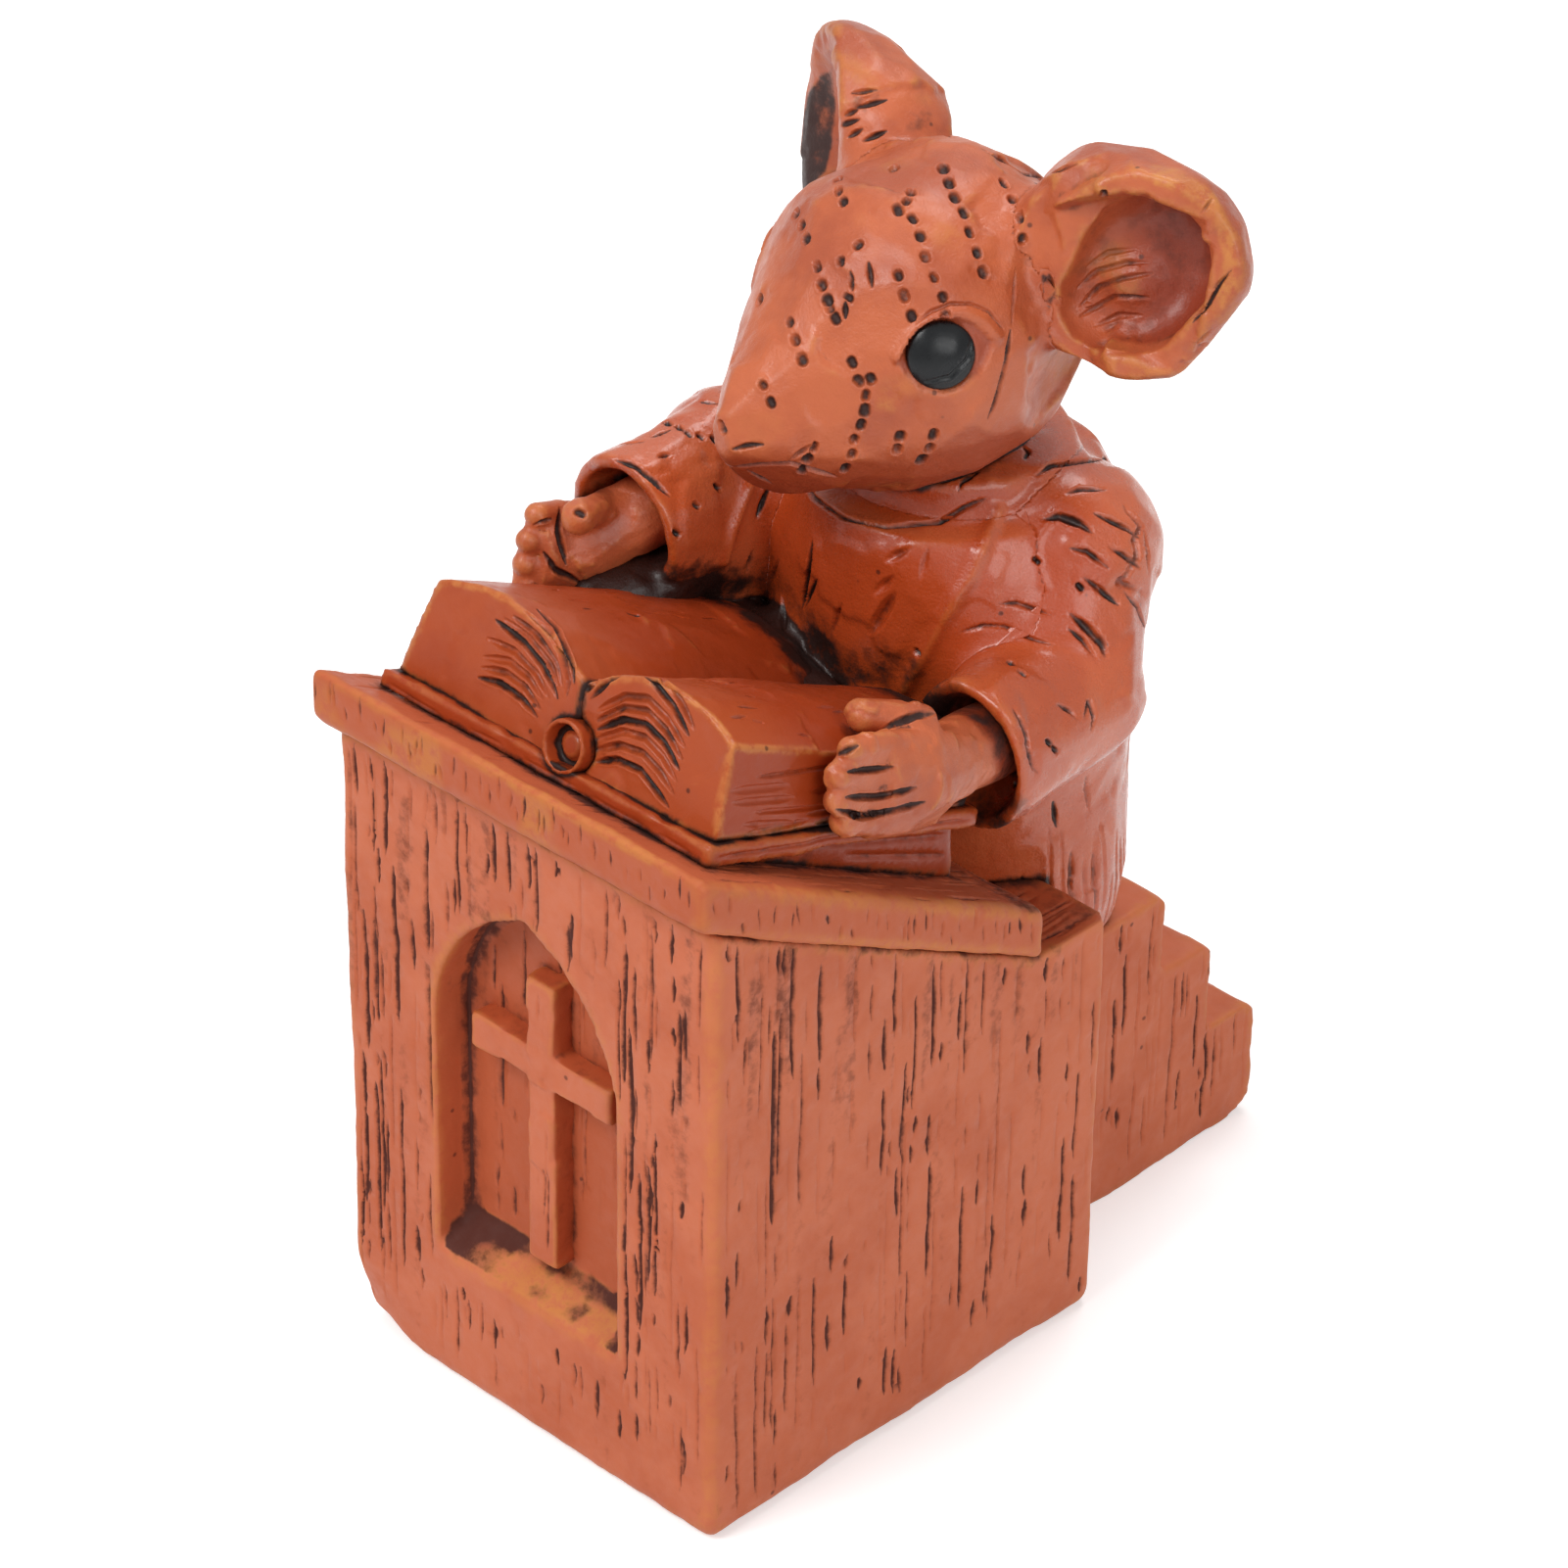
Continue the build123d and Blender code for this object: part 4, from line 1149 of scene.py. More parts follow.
leftPages = makePages("leftPages", "left_page_block", 1, 61)
hand(leftPages, "left_page_block", bookFinish)
rightPages = makePages("rightPages", "right_page_block", -1, 66)
hand(rightPages, "right_page_block", bookFinish)


rollLook = {"steps": ((0.34, 0.0), (0.2, 1.3), (0.25, 0.1), (0.5, -0.5)),  # inset and push of the hollow ends
            "remesh": (0.16, 3), "rough": [(0.05, 1.5, 73), (0.03, 0.7, 74)],
            "wear": (4, 0.5, 1.1, 0.4, 0.25, 0.9, 0.9), "contact": (0.5, 0.5)}


def makeRoll(look):
    letGo()
    spine, length, high = (bookLook[k] for k in ("spine", "length", "rollHeight"))
    bpy.ops.mesh.primitive_cylinder_add(vertices=48, radius=bookLook["rollRadius"] * mm, depth=length * mm,
                                        location=(spine * mm, length / 2 * mm, high * mm),
                                        rotation=(math.pi / 2, 0, 0))
    bpy.ops.object.transform_apply(location=True, rotation=True, scale=True)
    roll = bpy.context.object
    roll.name = "spineRoll"
    for end in (1, -1):
        for inset, push in look["steps"]:
            centre, normal = faceTable(roll)
            caps = np.nonzero(normal[:, 1] * end > 0.9)[0]
            inner = caps[np.argmin(np.abs(centre[caps][:, [0, 2]] - (spine, high)).sum(1))]
            choose(roll, "FACE", np.arange(len(centre)) == inner)
            bpy.ops.mesh.inset(thickness=inset * mm, depth=-push * mm)
            letGo()
    tiltBook(roll)
    dress(roll, look, "spine_roll")
    paintMore(roll, "deep", np.full(len(roll.data.vertices), 0.7))
    smoothFaces(roll)
    return roll


roll = makeRoll(rollLook)
hand(roll, "spine_roll", bookFinish)
print("book done")


# the robe: one sculpted mass, cut at the part lines

robeNodes = {"robeBody": "robe_body", "collarBand": "collar_band",
             "leftSleeve": "left_sleeve", "rightSleeve": "right_sleeve"}
robeLook = {"voxel": 0.3, "smoothing": 10, "fillTimes": 26, "fillRate": 0.07, "middle": 25.3}
sleeveCuts = [  # (pixels, width, depth, dark)
    ([(1058, 486), (1074, 475), (1107, 471), (1130, 468)], 0.5, 0.35, 0.9),
    ([(1088, 504), (1103, 499), (1130, 500)], 0.5, 0.35, 0.8),
    ([(1064, 530), (1082, 527), (1103, 535), (1115, 544)], 0.8, 0.5, 1.0),
    ([(1117, 524), (1133, 531), (1152, 540), (1163, 549)], 0.6, 0.4, 0.9),
    ([(1093, 560), (1111, 564), (1132, 580)], 0.6, 0.4, 0.85),
    ([(1133, 559), (1148, 567), (1164, 580)], 0.6, 0.4, 0.85),
    ([(1107, 590), (1123, 602), (1142, 618)], 0.6, 0.4, 0.9),
    ([(1148, 604), (1160, 618), (1169, 640)], 0.5, 0.35, 0.8),
    ([(1168, 541), (1172, 565), (1173, 586)], 0.35, 0.25, 0.7),
    ([(1019, 617), (1038, 616), (1053, 621), (1074, 628)], 0.45, 0.3, 0.8),
    ([(980, 646), (1004, 639), (1026, 640), (1048, 650), (1077, 659)], 0.4, 0.25, 0.7),
    ([(1093, 627), (1111, 642), (1125, 657), (1129, 671)], 0.8, 0.5, 1.0),
    ([(1091, 642), (1106, 654), (1118, 671)], 0.5, 0.35, 0.9),
    ([(1033, 722), (1043, 737), (1048, 751), (1050, 766), (1055, 785), (1060, 789)], 0.45, 0.3, 0.75),
    ([(1080, 719), (1094, 727), (1099, 734)], 0.45, 0.3, 0.8),
    ([(1107, 734), (1112, 715), (1117, 732), (1114, 747)], 0.4, 0.3, 0.8),
]
collarCuts = [
    ([(960, 493), (995, 480), (1021, 465), (1042, 453), (1054, 441), (1064, 424)], 0.55, 0.4, 1.0),
    ([(810, 470), (830, 508), (860, 528), (905, 538), (960, 533), (984, 519), (1009, 508)], 0.5, 0.35, 0.7),
    ([(979, 501), (982, 492), (999, 482)], 0.4, 0.3, 1.0), ([(1044, 455), (1050, 461), (1046, 469)], 0.4, 0.3, 1.0),
]
chestCuts = [
    ([(888, 647), (900, 628), (913, 607)], 1.0, 0.5, 0.45), ([(893, 606), (912, 589)], 0.7, 0.35, 0.3),
    ([(905, 573), (928, 560)], 0.7, 0.35, 0.45), ([(847, 650), (859, 616)], 0.5, 0.3, 0.45),
    ([(819, 620), (824, 590), (829, 553)], 0.55, 0.4, 1.0), ([(821, 621), (834, 591)], 0.4, 0.3, 0.9),
    ([(801, 645), (798, 602)], 0.6, 0.35, 0.8), ([(785, 597), (795, 572)], 0.4, 0.25, 0.5),
    ([(762, 585), (769, 562)], 0.5, 0.3, 0.6), ([(772, 530), (779, 512), (785, 497)], 0.5, 0.35, 0.95),
    ([(940, 590), (948, 560)], 0.5, 0.25, 0.3),
]
farSleeveCuts = [
    ([(628, 470), (649, 476), (668, 492), (684, 507)], 0.5, 0.4, 1.0),
    ([(624, 503), (638, 515), (651, 538)], 0.45, 0.3, 0.9), ([(666, 446), (684, 439)], 0.5, 0.35, 0.9),
    ([(627, 454), (657, 451)], 0.35, 0.25, 0.8), ([(672, 467), (684, 464)], 0.4, 0.3, 0.8),
    ([(716, 410), (735, 412)], 0.4, 0.3, 0.8), ([(787, 494), (775, 524), (770, 532)], 0.4, 0.3, 0.9),
]
robePits = [
    (1057, 571), (1101, 598), (1031, 676), (1043, 686), (1070, 757), (1076, 764), (1036, 800), (935, 665), (710, 515),
    (731, 496), (680, 431), (692, 435), (701, 441), (714, 444), (728, 447), (689, 543),
]
seamRidges = [
    [(1019, 522), (1005, 555), (991, 590), (978, 606), (968, 625), (951, 657), (924, 703)],
    [(764, 498), (747, 542), (739, 572)], [(632, 486), (653, 507), (668, 534)],
]


def flipped(points, first, second):  # mirrored so that the first place lands on the second
    first, second = np.asarray(first, float), np.asarray(second, float)
    way = (first - second) / np.linalg.norm(first - second)
    return points - 2 * np.outer((points - (first + second) / 2) @ way, way)


def mirrored(lines, tree, first=(1, 0, 0), second=(-1, 0, 0)):  # the same cuts on the side that the photo hides
    return hiddenOnly(tree, [onSurface(tree, flipped(path, first, second), *facts) for path, *facts in lines])


lapLumps = [  # (centre, half sizes) of the wax that fills the lap behind the book; painted dark below as the shade there, with dark wash
    ((-11.0, 11.5, 51.3), (4.0, 3.6, 2.6)), ((-7.0, 12.2, 51.8), (3.6, 3.2, 2.5)),
    ((-3.4, 11.4, 50.2), (3.2, 2.6, 2.4)), ((1.5, 10.8, 48.9), (3.6, 2.3, 2.1)), ((6.5, 11.8, 48.6), (4.0, 2.8, 2.2)),
    ((-13.0, 4.4, 57.0), (3.1, 5.8, 3.0)), ((-0.5, 8.1, 51.8), (3.4, 3.0, 2.2)), ((-4.6, 8.3, 53.3), (3.4, 2.9, 1.9)),
    ((-8.8, 8.9, 53.2), (3.4, 2.6, 2.0)), ((4.2, 9.3, 52.0), (3.6, 1.8, 1.9)), ((-15.2, 2.6, 57.6), (1.9, 3.2, 2.0)),
]


def addLumps(mass, lumps):
    for centre, sizes in lumps:
        letGo()
        bpy.ops.mesh.primitive_uv_sphere_add(segments=32, ring_count=16, radius=mm,
                                             location=Vector(centre) * mm, scale=sizes)
        bpy.ops.object.transform_apply(location=True, rotation=True, scale=True)
        mass.select_set(True)
        bpy.context.view_layer.objects.active = mass
        bpy.ops.object.join()


def makeRobe(look):
    mass = castCopy("robeCasting", *robeNodes.values())
    addLumps(mass, lapLumps)
    remeshed(mass, look["voxel"], look["smoothing"])
    fillHollows(mass, look["fillTimes"], look["fillRate"])
    roughen(mass, (0.16, 6.0, 83), (0.06, 1.8, 84))
    facets(mass, 420, 0.12, 85)
    tree = surfaceTree(mass)
    ridges = []
    for stroke in seamRidges:
        ridges += [(line[0], 1.0, 0.45) for line in fromPhoto(tree, stroke, 1, 1, 1)]
    raiseAlong(mass, ridges)
    wearAndHollow(mass, 6, 0.2, 0.7, 0.5, 0.22, 0.7, 0.35)
    contactWashAndShade(mass, robeNodes.values(), 1.0, 0.9)
    # painted shade cast by the book onto the lap and chest, wide and dark
    for name in ("book_cover", "left_page_block", "right_page_block", "book_rest"):
        contactWashAndShade(mass, [n for n in nodeTrees if n != name], 4.2, 1.25)
    points, normals = vertexTable(mass), normalTable(mass)
    chest = ramp(-normals[:, 1], -0.1, 0.6) * ramp(points[:, 2], 40, 48)
    # downward faces and the insides of the cuffs painted a deep tone as shade; the chest also deeper
    under = ramp(-normals[:, 2], 0.1, 0.6)
    cuffShade = ramp(-points[:, 1], -6, -1) * ramp(-(points[:, 0] * normals[:, 0]), 0, 4)
    paintMore(mass, "deep", np.maximum(np.maximum(chest * 0.9, under * 0.8), cuffShade * 0.9))
    # the chest beside the far sleeve and low down darkened: dark wash and painted shade
    paintMore(mass, "washAndShade", 0.6 * chest * ramp(-points[:, 0], 5, 11) * ramp(-points[:, 2], -62, -56))
    # the lumps painted dark as the shade in the lap behind the book, with dark wash
    for centre, sizes in lapLumps:
        paintMore(mass, "washAndShade", ramp(-np.linalg.norm((points - centre) / sizes, axis=1), -1.45, -1.12))
    tree = surfaceTree(mass)
    near, lines = [], []
    for pixels, width, depth, dark in sleeveCuts:
        near += fromPhoto(tree, pixels, width * 0.95, depth, dark * 0.85)
    for stroke in collarCuts + chestCuts + farSleeveCuts:
        lines += fromPhoto(tree, *stroke)
    for spot in robePits:
        lines += fromPhoto(tree, [spot, (spot[0] + 3, spot[1] + 3)], 0.5, 0.4, 0.95)
    dice = np.random.RandomState(88)
    for _ in range(54):  # short cuts over the back
        turn, z = dice.uniform(-0.3, math.pi + 0.3), dice.uniform(29, 62)
        out = 13.2 - 0.12 * max(0, z - 48)
        slant = dice.uniform(-0.05, 0.05)
        length = dice.uniform(1.5, 4.5)
        path = [(out * math.cos(a), look["middle"] + out * math.sin(a), high)
                for a, high in ((turn, z), (turn + slant, z + length))]
        lines.append(onSurface(tree, *cut(dice, path, (0.4, 0.7), (0.2, 0.4), (0.5, 1.0))))
    for turn in np.arange(-0.5, 3.7, 0.085):  # upright grooves in the skirt
        low = 26 + dice.uniform(0, 5)
        path = [(13.4 * math.cos(turn), look["middle"] + 12.2 * math.sin(turn), low + step)
                for step in (0, 3, dice.uniform(4, 12))]
        lines.append(onSurface(tree, *cut(dice, path, (0.25, 0.5), (0.1, 0.22), (0.05, 0.55))))
    engrave(mass, near + mirrored(near, tree) + lines, cuts=1)
    return splitCasting(mass, robeNodes)


robeParts = makeRobe(robeLook)
for pieceName, nodeName in robeNodes.items():
    hand(robeParts[pieceName], nodeName, robeFinish)
print("robe done", {k: len(v.data.polygons) for k, v in robeParts.items()})


# the mouse

headNodes = {"mouseHead": "head", "leftEar": "left_ear", "rightEar": "right_ear"}
eyeNodes = {"leftEye": "left_eye", "rightEye": "right_eye"}
headLook = {"voxel": 0.26, "smoothing": 6, "fillTimes": 70, "fillRate": 0.09, "mark": 0.8, "markDepth": 0.4}
headNudges = [  # where the carving in the photo leaves the plain casting
    ((1096, 372), (-20, -2), 6.0), ((1150, 150), (0, 15), 8.0), ((1215, 175), (-4, 10), 7.0),
    ((1060, 185), (-4, 12), 5.0), ((1255, 340), (-8, -3), 5.0), ((1120, 380), (-6, 6), 4.0),
    ((905, 160), (0, 4), 6.0), ((1088, 165), (0, 14), 5.0), ((1122, 155), (0, 6), 5.0), ((1272, 262), (-7, 0), 6.0),
    ((1232, 362), (-9, -9), 5.0), ((1090, 372), (-12, 0), 5.0), ((790, 498), (3, -9), 4.5),
]
eyeOpening = [
    (916, 373), (923, 357), (939, 338), (959, 328), (977, 325), (995, 331), (1007, 341), (1016, 352), (1009, 369),
    (999, 385), (983, 397), (963, 404), (943, 400), (927, 389),
]
lidRidge = [
    (917, 365), (930, 345), (946, 329), (966, 320), (985, 319), (1003, 327), (1018, 344),
]
earOpening = [
    (1081, 294), (1101, 251), (1126, 217), (1165, 198), (1204, 200), (1239, 227), (1249, 264), (1243, 303),
    (1209, 342), (1166, 358), (1123, 362), (1094, 347), (1079, 324),
]
earMound = (1143, 300)
eyeMiddle = (962, 363)
washAndShadeAreas = [  # (outline, amount, soft edge in pixels, reach in mm) of dark wash and painted shade seen on the head
    ([(836, 72), (852, 66), (857, 110), (853, 150), (846, 178), (815, 206), (811, 180), (817, 120),
      (823, 92)], 1.0, 7, 14), ([(1060, 275), (1077, 281), (1081, 301), (1071, 323), (1062, 301)], 0.9, 5, 5),
    ([(918, 108), (955, 106), (962, 130), (945, 142), (920, 138)], 0.35, 12, 6),
    ([(866, 92), (902, 84), (908, 108), (884, 122), (862, 118)], 0.45, 12, 6),
]
ochreAreas = [
    ([(1172, 166), (1205, 170), (1242, 195), (1264, 240), (1266, 288), (1248, 322), (1237, 308), (1247, 262),
      (1236, 224), (1204, 198), (1176, 190)], 0.95, 5, 16),
    ([(893, 400), (925, 405), (915, 424), (890, 420)], 0.6, 8, 4),
]
punchRows = [  # single punch marks over the head, in the photo's pixels
    [(913, 172), (930, 196), (926, 205), (917, 214), (932, 223), (940, 241), (945, 262), (954, 283),
      (963, 304), (965, 320)], [(963, 172), (969, 187), (975, 202), (984, 217), (990, 237), (998, 258), (1004, 278)],
    [(1025, 187), (1034, 204), (1041, 222), (1044, 244)], [(856, 183), (856, 195), (861, 206)],
    [(813, 218), (819, 230), (823, 244), (834, 272), (839, 291), (845, 307), (847, 315), (853, 325)],
    [(876, 250), (858, 267), (866, 304)], [(806, 329), (812, 347), (819, 367)], [(917, 281), (923, 302), (931, 323)],
    [(870, 370), (877, 389), (889, 387), (884, 404), (883, 419), (879, 434), (872, 449), (870, 464), (863, 478)],
    [(779, 393), (787, 411)], [(919, 446), (916, 459)], [(953, 444), (949, 458), (941, 469)],
    [(830, 457), (824, 469), (819, 480)], [(776, 305), (776, 307)], [(737, 435), (738, 438)],
]
headCuts = [  # (pixels, width, depth, dark)
    ([(1037, 273), (1033, 334)], 0.3, 0.2, 0.3),
    ([(1032, 337), (1028, 367), (1019, 401), (1014, 416), (1009, 427)], 0.45, 0.3, 0.8),
    ([(887, 268), (890, 293)], 0.5, 0.35, 0.95), ([(868, 278), (870, 296)], 0.5, 0.35, 0.95),
    ([(863, 309), (863, 324)], 0.5, 0.35, 0.95), ([(763, 480), (776, 487), (789, 495)], 0.5, 0.4, 0.9),
    ([(748, 459), (764, 455), (779, 454)], 0.5, 0.35, 0.9),
    ([(934, 331), (950, 318), (970, 310), (991, 310), (1010, 318), (1025, 337)], 0.35, 0.25, 0.45),
    ([(748, 477), (775, 474), (808, 473), (855, 487)], 0.5, 0.3, 0.6), ([(808, 469), (828, 455)], 0.5, 0.3, 0.5),
    ([(1003, 152), (1022, 163), (1045, 178), (1062, 181)], 0.5, 0.2, 0.8), ([(859, 128), (877, 122)], 0.5, 0.3, 0.9),
    ([(881, 144), (905, 134)], 0.5, 0.3, 0.9), ([(875, 110), (905, 102)], 0.5, 0.3, 0.9),
    ([(863, 118), (875, 112)], 0.5, 0.3, 0.8), ([(870, 95), (895, 92)], 0.5, 0.3, 0.8),
    ([(866, 140), (880, 132)], 0.5, 0.3, 0.8),
]
earCuts = [
    ([(1103, 313), (1122, 293), (1146, 284), (1176, 279)], 0.5, 0.3, 0.5),
    ([(1103, 323), (1138, 303), (1173, 304)], 0.5, 0.3, 0.5),
    ([(1100, 294), (1120, 277), (1150, 268), (1172, 268)], 0.5, 0.3, 0.5),
    ([(1110, 272), (1132, 258), (1160, 254)], 0.5, 0.25, 0.35),
    ([(1118, 333), (1142, 322), (1166, 322)], 0.5, 0.25, 0.35),
    ([(1218, 329), (1234, 311), (1246, 289), (1258, 275)], 0.35, 0.3, 0.95),
    ([(1226, 219), (1238, 203)], 0.3, 0.2, 0.4), ([(1237, 296), (1256, 278)], 0.3, 0.2, 0.4),
    ([(1211, 329), (1230, 313)], 0.3, 0.2, 0.4), ([(1221, 352), (1237, 336)], 0.3, 0.2, 0.4),
    ([(1074, 176), (1100, 167)], 0.4, 0.25, 0.7), ([(1071, 282), (1071, 300)], 0.8, 0.3, 0.8),
    ([(1127, 197), (1127, 201)], 0.6, 0.4, 0.9),
]


def earRim(name):  # middle and direction of the flat rim of a cast ear
    node = frame["nodes"][name]
    centre, normal = faceTable(node)
    guess = np.array((0.407, -0.913, 0) if name == "left_ear" else (-0.615, -0.788, 0))
    share = np.array([p.area for p in node.data.polygons]) * (normal @ guess > 0.97)
    facing = share @ normal
    return share @ centre / share.sum(), facing / np.linalg.norm(facing)


def fromRim(points, middle, facing):  # depth under the rim's plane, and the points dropped onto that plane
    depth = -((points - middle) @ facing)
    flat = points + np.outer(depth, facing)
    return depth, flat, np.linalg.norm(points - middle + np.outer(depth, facing), axis=1)


def carveBowl(mass):  # the hollow of the near ear, with its mound, as the photo shows it
    middle, facing = earRim("left_ear")
    points, normals = vertexTable(mass), normalTable(mass)
    depth, flat, across = fromRim(points, middle, facing)
    spots = photoSpots(flat)
    edge, facingUs = insideOutline(spots, earOpening), normals @ facing
    headward = ramp(-spots[:, 0], -1150, -1105)
    chosen = (across < 7.3 + 1.6 * headward) & (depth > -0.8 - 0.6 * headward) & (depth < 5.5) & (facingUs > 0.05)
    inside = np.maximum(edge, 0) / pixelsPerMm
    wanted = 3.6 * np.sqrt(1 - (1 - np.minimum(1, inside / 4.2)) ** 2)
    mound = np.linalg.norm(spots - earMound, axis=1) / pixelsPerMm
    wanted = wanted * (1 - 0.5 * np.exp(-(mound / 2.7) ** 2)) + 0.35 * headward * (inside == 0)
    points[chosen] = (flat - np.outer(wanted, facing))[chosen]
    setVertexTable(mass, points)
    web = (across < 8.6 + 1.4 * headward) & (depth > -2) & (depth < 5.5) & (facingUs > -0.2)
    web = web * ramp(-edge, 1.5, 7)  # evens the flat beside the hollow
    even = np.stack([spread(mass, points[:, k], 14) for k in range(3)], 1)
    setVertexTable(mass, points + (even - points) * web[:, None])


def paintEars(mass):
    points, normals = vertexTable(mass), normalTable(mass)
    spots = photoSpots(points)
    # ear hollows darkened: dark wash and painted shade, the far ear's hollow much darker
    for name, dark in (("left_ear", 0.3), ("right_ear", 0.9)):
        middle, facing = earRim(name)
        depth, _, across = fromRim(points, middle, facing)
        bowl = ramp(depth, 0.5, 1.6) * ramp(-depth, -6.5, -5.0) * ramp(-across, -7.4, -6.6) * (normals @ facing > 0)
        paintMore(mass, "deep", bowl * (0.6 + 0.4 * ramp(spots[:, 0], 1120, 1195)))
        paintMore(mass, "washAndShade", dark * bowl * (0.3 + 0.7 * lattice(points, 2.0, 108)))
        if name == "left_ear":
            # painted shade along the inner edge of the near ear's opening, on its far side
            edge = np.clip(1 - np.abs(insideOutline(spots, earOpening) - 3) / 5, 0, 1)
            paintMore(mass, "washAndShade", 0.55 * (bowl > 0) * edge * ramp(spots[:, 0], 1150, 1200))


def openEyes(mass, eyes):  # almond openings under raised upper lids; returns their share of each vertex
    points, normals = vertexTable(mass), normalTable(mass)
    opened, sunk = np.zeros(len(points)), np.zeros(len(points))
    for eye, seen in zip(eyes, (points, flipped(points, *eyes))):
        near = np.linalg.norm(points - eye, axis=1) < 6.5
        spots = photoSpots(seen)
        opened = np.maximum(opened, near * ramp(insideOutline(spots, eyeOpening), -0.5, 2.5))
        under = ramp(-np.linalg.norm(spots - eyeMiddle, axis=1), -37, -33)  # under the eye itself
        sunk = np.maximum(sunk, near * under)
    setVertexTable(mass, points - normals * (0.34 * opened + 0.6 * sunk)[:, None])
    return opened


def makeHead(look):
    mass = castCopy("headCasting", *headNodes.values(), *eyeNodes.values())  # eyes fill their sockets
    remeshed(mass, look["voxel"], look["smoothing"])
    points = vertexTable(mass)
    tip = ramp(-points[:, 1], -11, -2.5)
    points[:, 2] -= tip * (0.8 + 0.2 * ramp(-points[:, 2], -77, -71))  # the drooping nose
    setVertexTable(mass, points)
    nudge(mass, headNudges)
    eyes = [vertexTable(frame["nodes"][name]).mean(0) for name in eyeNodes.values()]
    clear = [np.linalg.norm(vertexTable(mass) - eye, axis=1) > 4.2 for eye in eyes]
    fillHollows(mass, look["fillTimes"], look["fillRate"], clear[0] * clear[1])
    carveBowl(mass)
    remeshed(mass, look["voxel"], 3)
    roughen(mass, (0.14, 4.5, 103), (0.09, 1.5, 104), (0.03, 0.6, 106))
    facets(mass, 420, 0.2, 105)
    tree = surfaceTree(mass)
    lids = fromPhoto(tree, lidRidge, 0.9, 0.4, 0)
    raiseAlong(mass, [line[:3] for line in lids] + [(line[0], 0.9, 0.2) for line in mirrored(lids, tree, *eyes)])
    opened = openEyes(mass, eyes)
    points = vertexTable(mass)
    wearAndHollow(mass, 5, 0.2, 0.7, 0.6, 0.25, 0.7, 0.4)
    lidded = [ramp(np.linalg.norm(points - eye, axis=1), 5.5, 4.4) for eye in eyes]
    nose = ramp(-points[:, 1], -9, -4)
    setPaint(mass, "wear", paintTable(mass, "wear") * (1 - np.maximum(*lidded)) * (1 - 0.75 * nose))
    # downward faces of the head painted a deep tone as shade
    under = ramp(-normalTable(mass)[:, 2], 0.0, 0.6) * (points[:, 1] < 24)
    paintMore(mass, "deep", np.maximum(0.8 * opened, 0.8 * under))
    contactWashAndShade(mass, headNodes.values(), 0.5, 0.9)
    setPaint(mass, "washAndShade", paintTable(mass, "washAndShade") * (1 - 0.75 * opened))
    paintMore(mass, "wear", 0.4 * ramp(lattice(points, 3.2, 109), 0.62, 0.85) * (1 - 0.75 * nose))
    paintEars(mass)
    for layer, areas in (("washAndShade", washAndShadeAreas), ("wear", ochreAreas)):
        for outline, amount, soft, reach in areas:
            broken = 0.4 + 0.9 * lattice(points, 1.4, 110)
            paintMore(mass, layer, amount * seenArea(mass, outline, soft, reach) * broken)
    tree = surfaceTree(mass)
    lines = []
    dice = np.random.RandomState(107)
    for row in punchRows:
        spots = np.array(row, float)
        for k, spot in enumerate(spots):
            way = spots[min(k + 1, len(spots) - 1)] - spots[max(k - 1, 0)]
            way = way / max(1e-6, np.linalg.norm(way)) * dice.uniform(0.8, 2.2)
            lines += fromPhoto(tree, [spot - way, spot + way], look["mark"] * dice.uniform(0.85, 1.1),
                               look["markDepth"], dice.uniform(0.6, 1.0))
    for stroke in headCuts + earCuts:
        lines += fromPhoto(tree, *stroke)
    engrave(mass, lines + mirrored(lines, tree, *eyes), cuts=2)
    return splitCasting(mass, headNodes)


headParts = makeHead(headLook)
for pieceName, nodeName in headNodes.items():
    hand(headParts[pieceName], nodeName, mouseFinish)
print("head done", {k: len(v.data.polygons) for k, v in headParts.items()})


def makeEye(name, nodeName):
    eye = castCopy(name, nodeName)
    remeshed(eye, 0.1, 4)
    roughen(eye, (0.06, 1.6, 113))
    if nodeName == "left_eye":
        groove = fromPhoto(surfaceTree(eye), [(993, 342), (988, 367), (970, 385), (945, 390)], 0.5, 0.14, 0)
        engrave(eye, groove, cuts=0, burr=0.4)
    wearAndHollow(eye, 4, 0.6, 1.2, 0.5, 0.6, 1.2, 0.3)
    smoothFaces(eye)
    return eye


for pieceName, nodeName in eyeNodes.items():
    hand(makeEye(pieceName, nodeName), nodeName, eyeFinish)

pawCuts = {
    "left": [
        ([(866, 788), (902, 785), (912, 783)], 0.6, 0.4, 0.9),
        ([(864, 814), (893, 814), (917, 810), (936, 804)], 0.62, 0.4, 0.9),
        ([(854, 827), (881, 834), (912, 828), (944, 819)], 0.62, 0.4, 0.9),
        ([(902, 744), (936, 730), (965, 727)], 0.7, 0.3, 0.8), ([(834, 785), (854, 771), (876, 761)], 0.7, 0.4, 1.0),
    ],
    "right": [
        ([(590, 523), (595, 525)], 0.7, 0.3, 0.9), ([(572, 519), (570, 543), (578, 576)], 0.6, 0.4, 0.9),
        ([(546, 536), (563, 530)], 0.5, 0.3, 0.8), ([(555, 564), (567, 582), (592, 595)], 0.6, 0.4, 0.9),
    ],
}


pawLook = {"remesh": (0.18, 5), "rough": [(0.07, 2.0, 123), (0.04, 0.9, 124)], "fill": (30, 0.06),
           "facets": (110, 0.1, 125), "wear": (5, 0.3, 0.9, 0.4, 0.25, 0.9, 0.5), "contact": (0.6, 0.85)}


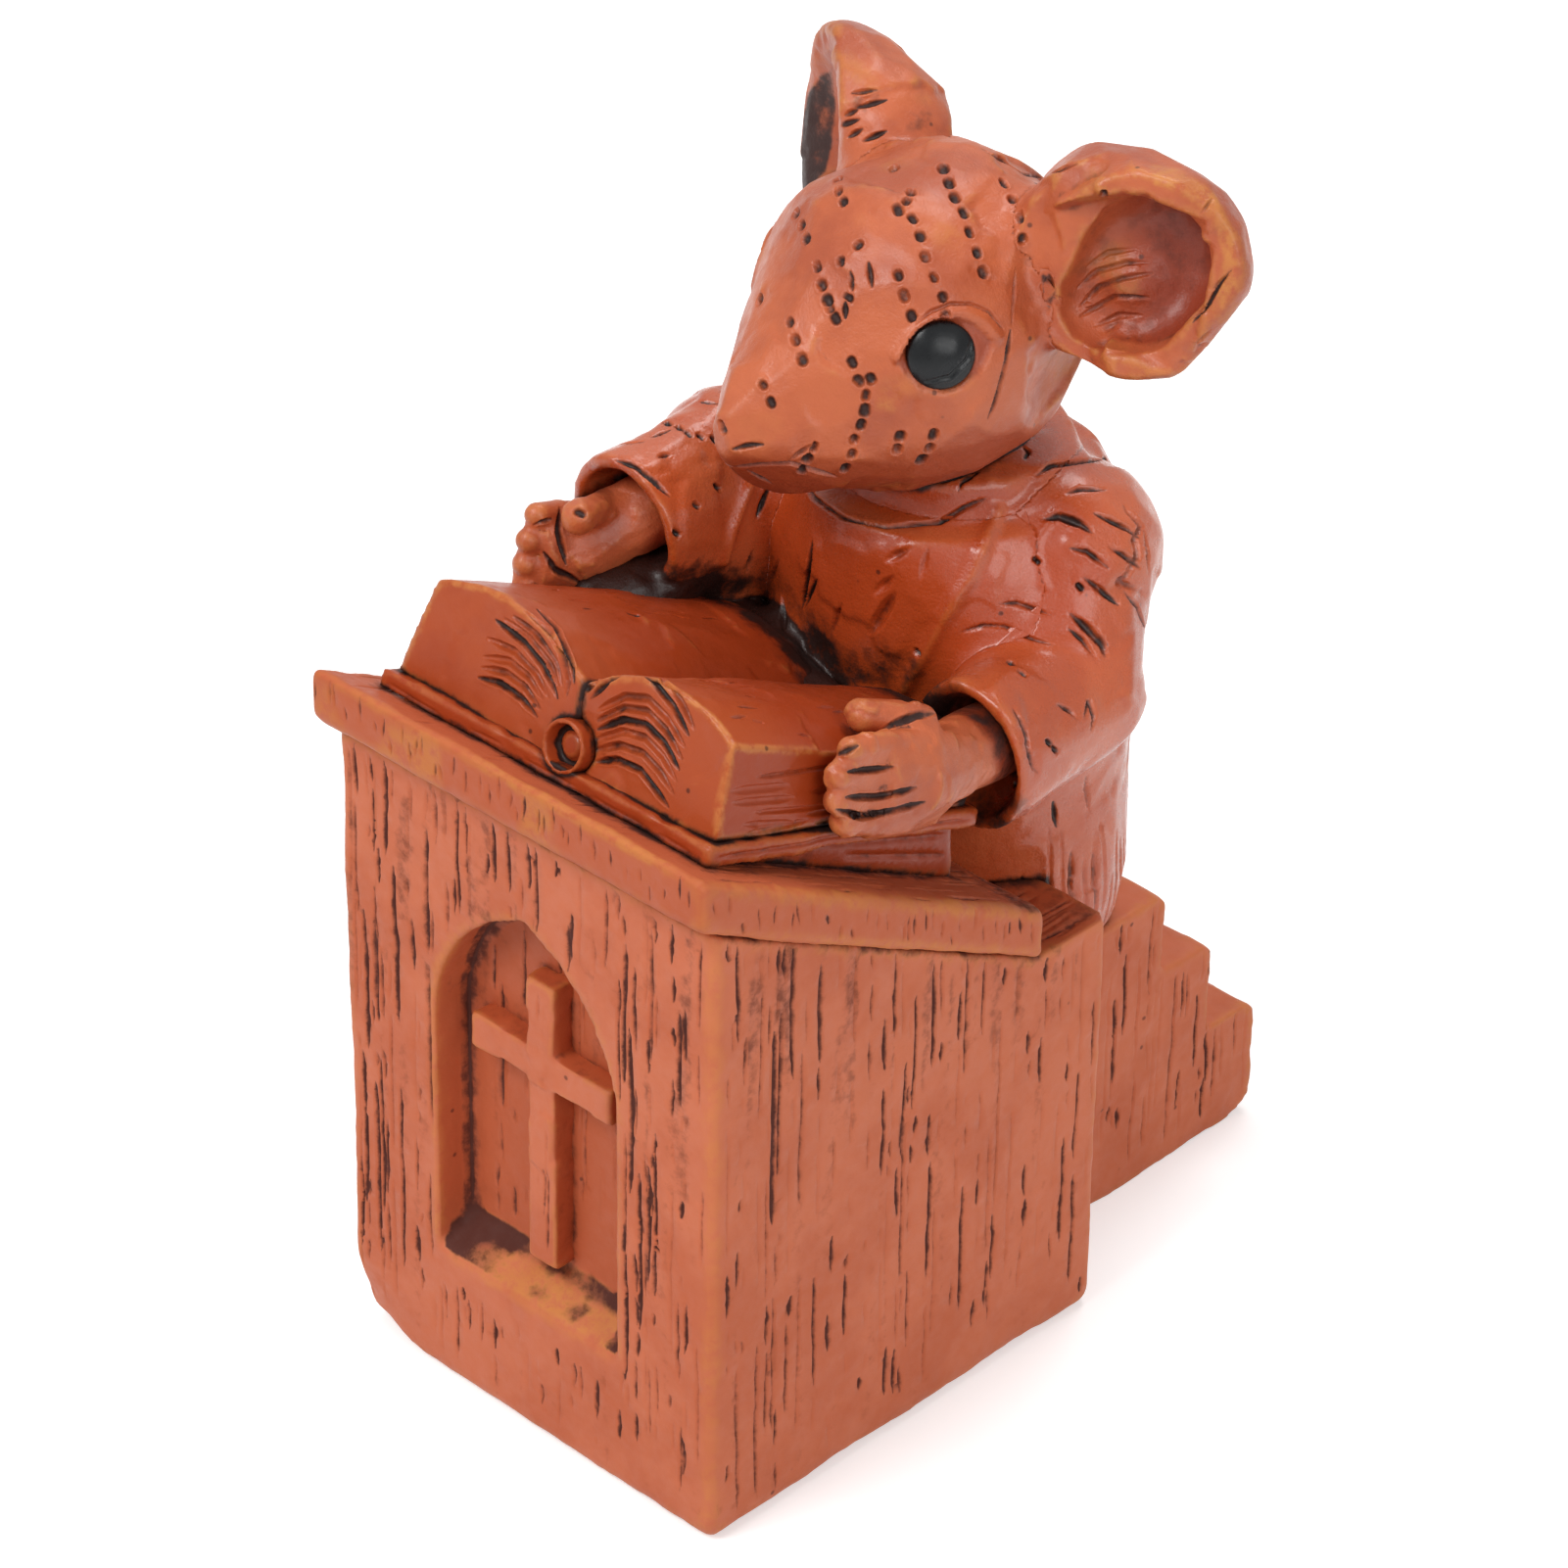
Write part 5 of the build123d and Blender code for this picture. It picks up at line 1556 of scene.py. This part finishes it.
def makePaw(name, nodeName, side):
    paw = castCopy(name, nodeName)
    dress(paw, pawLook, nodeName)
    points = vertexTable(paw)
    tree = nodeTrees[nodeName.replace("paw", "sleeve")]
    shade = np.array([ramp(-tree.find_nearest(p)[3], -2.6, -0.6) for p in points.tolist()])
    paintMore(paw, "deep", shade)
    paintMore(paw, "washAndShade", shade * (0.25 + 0.5 * lattice(points, 1.5, 126)))
    tree = surfaceTree(paw)
    lines = []
    for stroke in pawCuts[side]:
        lines += fromPhoto(tree, *stroke)
    engrave(paw, lines, cuts=1)
    smoothFaces(paw)
    return paw


for pieceName, nodeName, side in (("leftPaw", "left_paw", "left"), ("rightPaw", "right_paw", "right")):
    hand(makePaw(pieceName, nodeName, side), nodeName, mouseFinish)
print("mouse done")


# stage

stageLook = {"floor": 4.0, "key": 5.2, "fill": 2.4, "top": 3.0, "sky": 0.36}


def makeFloor():
    letGo()
    bpy.ops.mesh.primitive_plane_add(size=stageLook["floor"])
    floor = bpy.context.object
    floor.name = "paleFloor"
    finish = bpy.data.materials.new("paleFloor")
    finish.use_nodes = True
    tree = finish.node_tree
    tree.nodes.clear()
    out = tree.nodes.new("ShaderNodeOutputMaterial")
    matte = node(tree, "ShaderNodeBsdfDiffuse", Color=(0.8, 0.8, 0.8, 1))
    glow = node(tree, "ShaderNodeEmission", Color=(1, 1, 1, 1))
    ray = tree.nodes.new("ShaderNodeLightPath")
    total = tree.nodes.new("ShaderNodeAddShader")
    seen = sums(tree, "MAXIMUM", ray.outputs["Is Camera Ray"], ray.outputs["Is Glossy Ray"])
    tree.links.new(sums(tree, "MULTIPLY", seen, 0.42), glow.inputs["Strength"])
    wire(tree, matte, 0, total, 0)
    wire(tree, glow, 0, total, 1)
    wire(tree, total, 0, out, "Surface")
    floor.data.materials.append(finish)


def addLamp(name, place, aim, size, power):
    data = bpy.data.lights.new(name, "AREA")
    data.shape = "DISK"
    data.size, data.energy = size, power
    lamp = bpy.data.objects.new(name, data)
    bpy.context.scene.collection.objects.link(lamp)
    lamp.location = place
    lamp.rotation_euler = (Vector(aim) - Vector(place)).to_track_quat("-Z", "Y").to_euler()


def makeStage():
    makeFloor()
    world = bpy.data.worlds.new("softStudio")
    bpy.context.scene.world = world
    world.use_nodes = True
    tree = world.node_tree
    sky = tree.nodes["Background"]
    ray = tree.nodes.new("ShaderNodeLightPath")
    seen = sums(tree, "MAXIMUM", ray.outputs["Is Camera Ray"], ray.outputs["Is Transmission Ray"])
    seen = sums(tree, "MAXIMUM", seen, sums(tree, "MULTIPLY", ray.outputs["Is Glossy Ray"], 0.5))
    strength = tree.nodes.new("ShaderNodeMix")
    tree.links.new(seen, strength.inputs[0])
    strength.inputs[2].default_value = stageLook["sky"]
    strength.inputs[3].default_value = 1.0
    tree.links.new(strength.outputs[0], sky.inputs["Strength"])
    sky.inputs["Color"].default_value = (1, 1, 1, 1)
    aim = (0, 0.01, 0.045)
    addLamp("keyLight", (-0.10, -0.60, 0.75), aim, 0.45, stageLook["key"])
    addLamp("fillLight", (0.75, -0.20, 0.45), aim, 0.5, stageLook["fill"])
    addLamp("topLight", (-0.15, 0.35, 0.85), aim, 0.4, stageLook["top"])
    bpy.context.scene.view_settings.view_transform = "Standard"


makeStage()
letGo()
print("stage done")
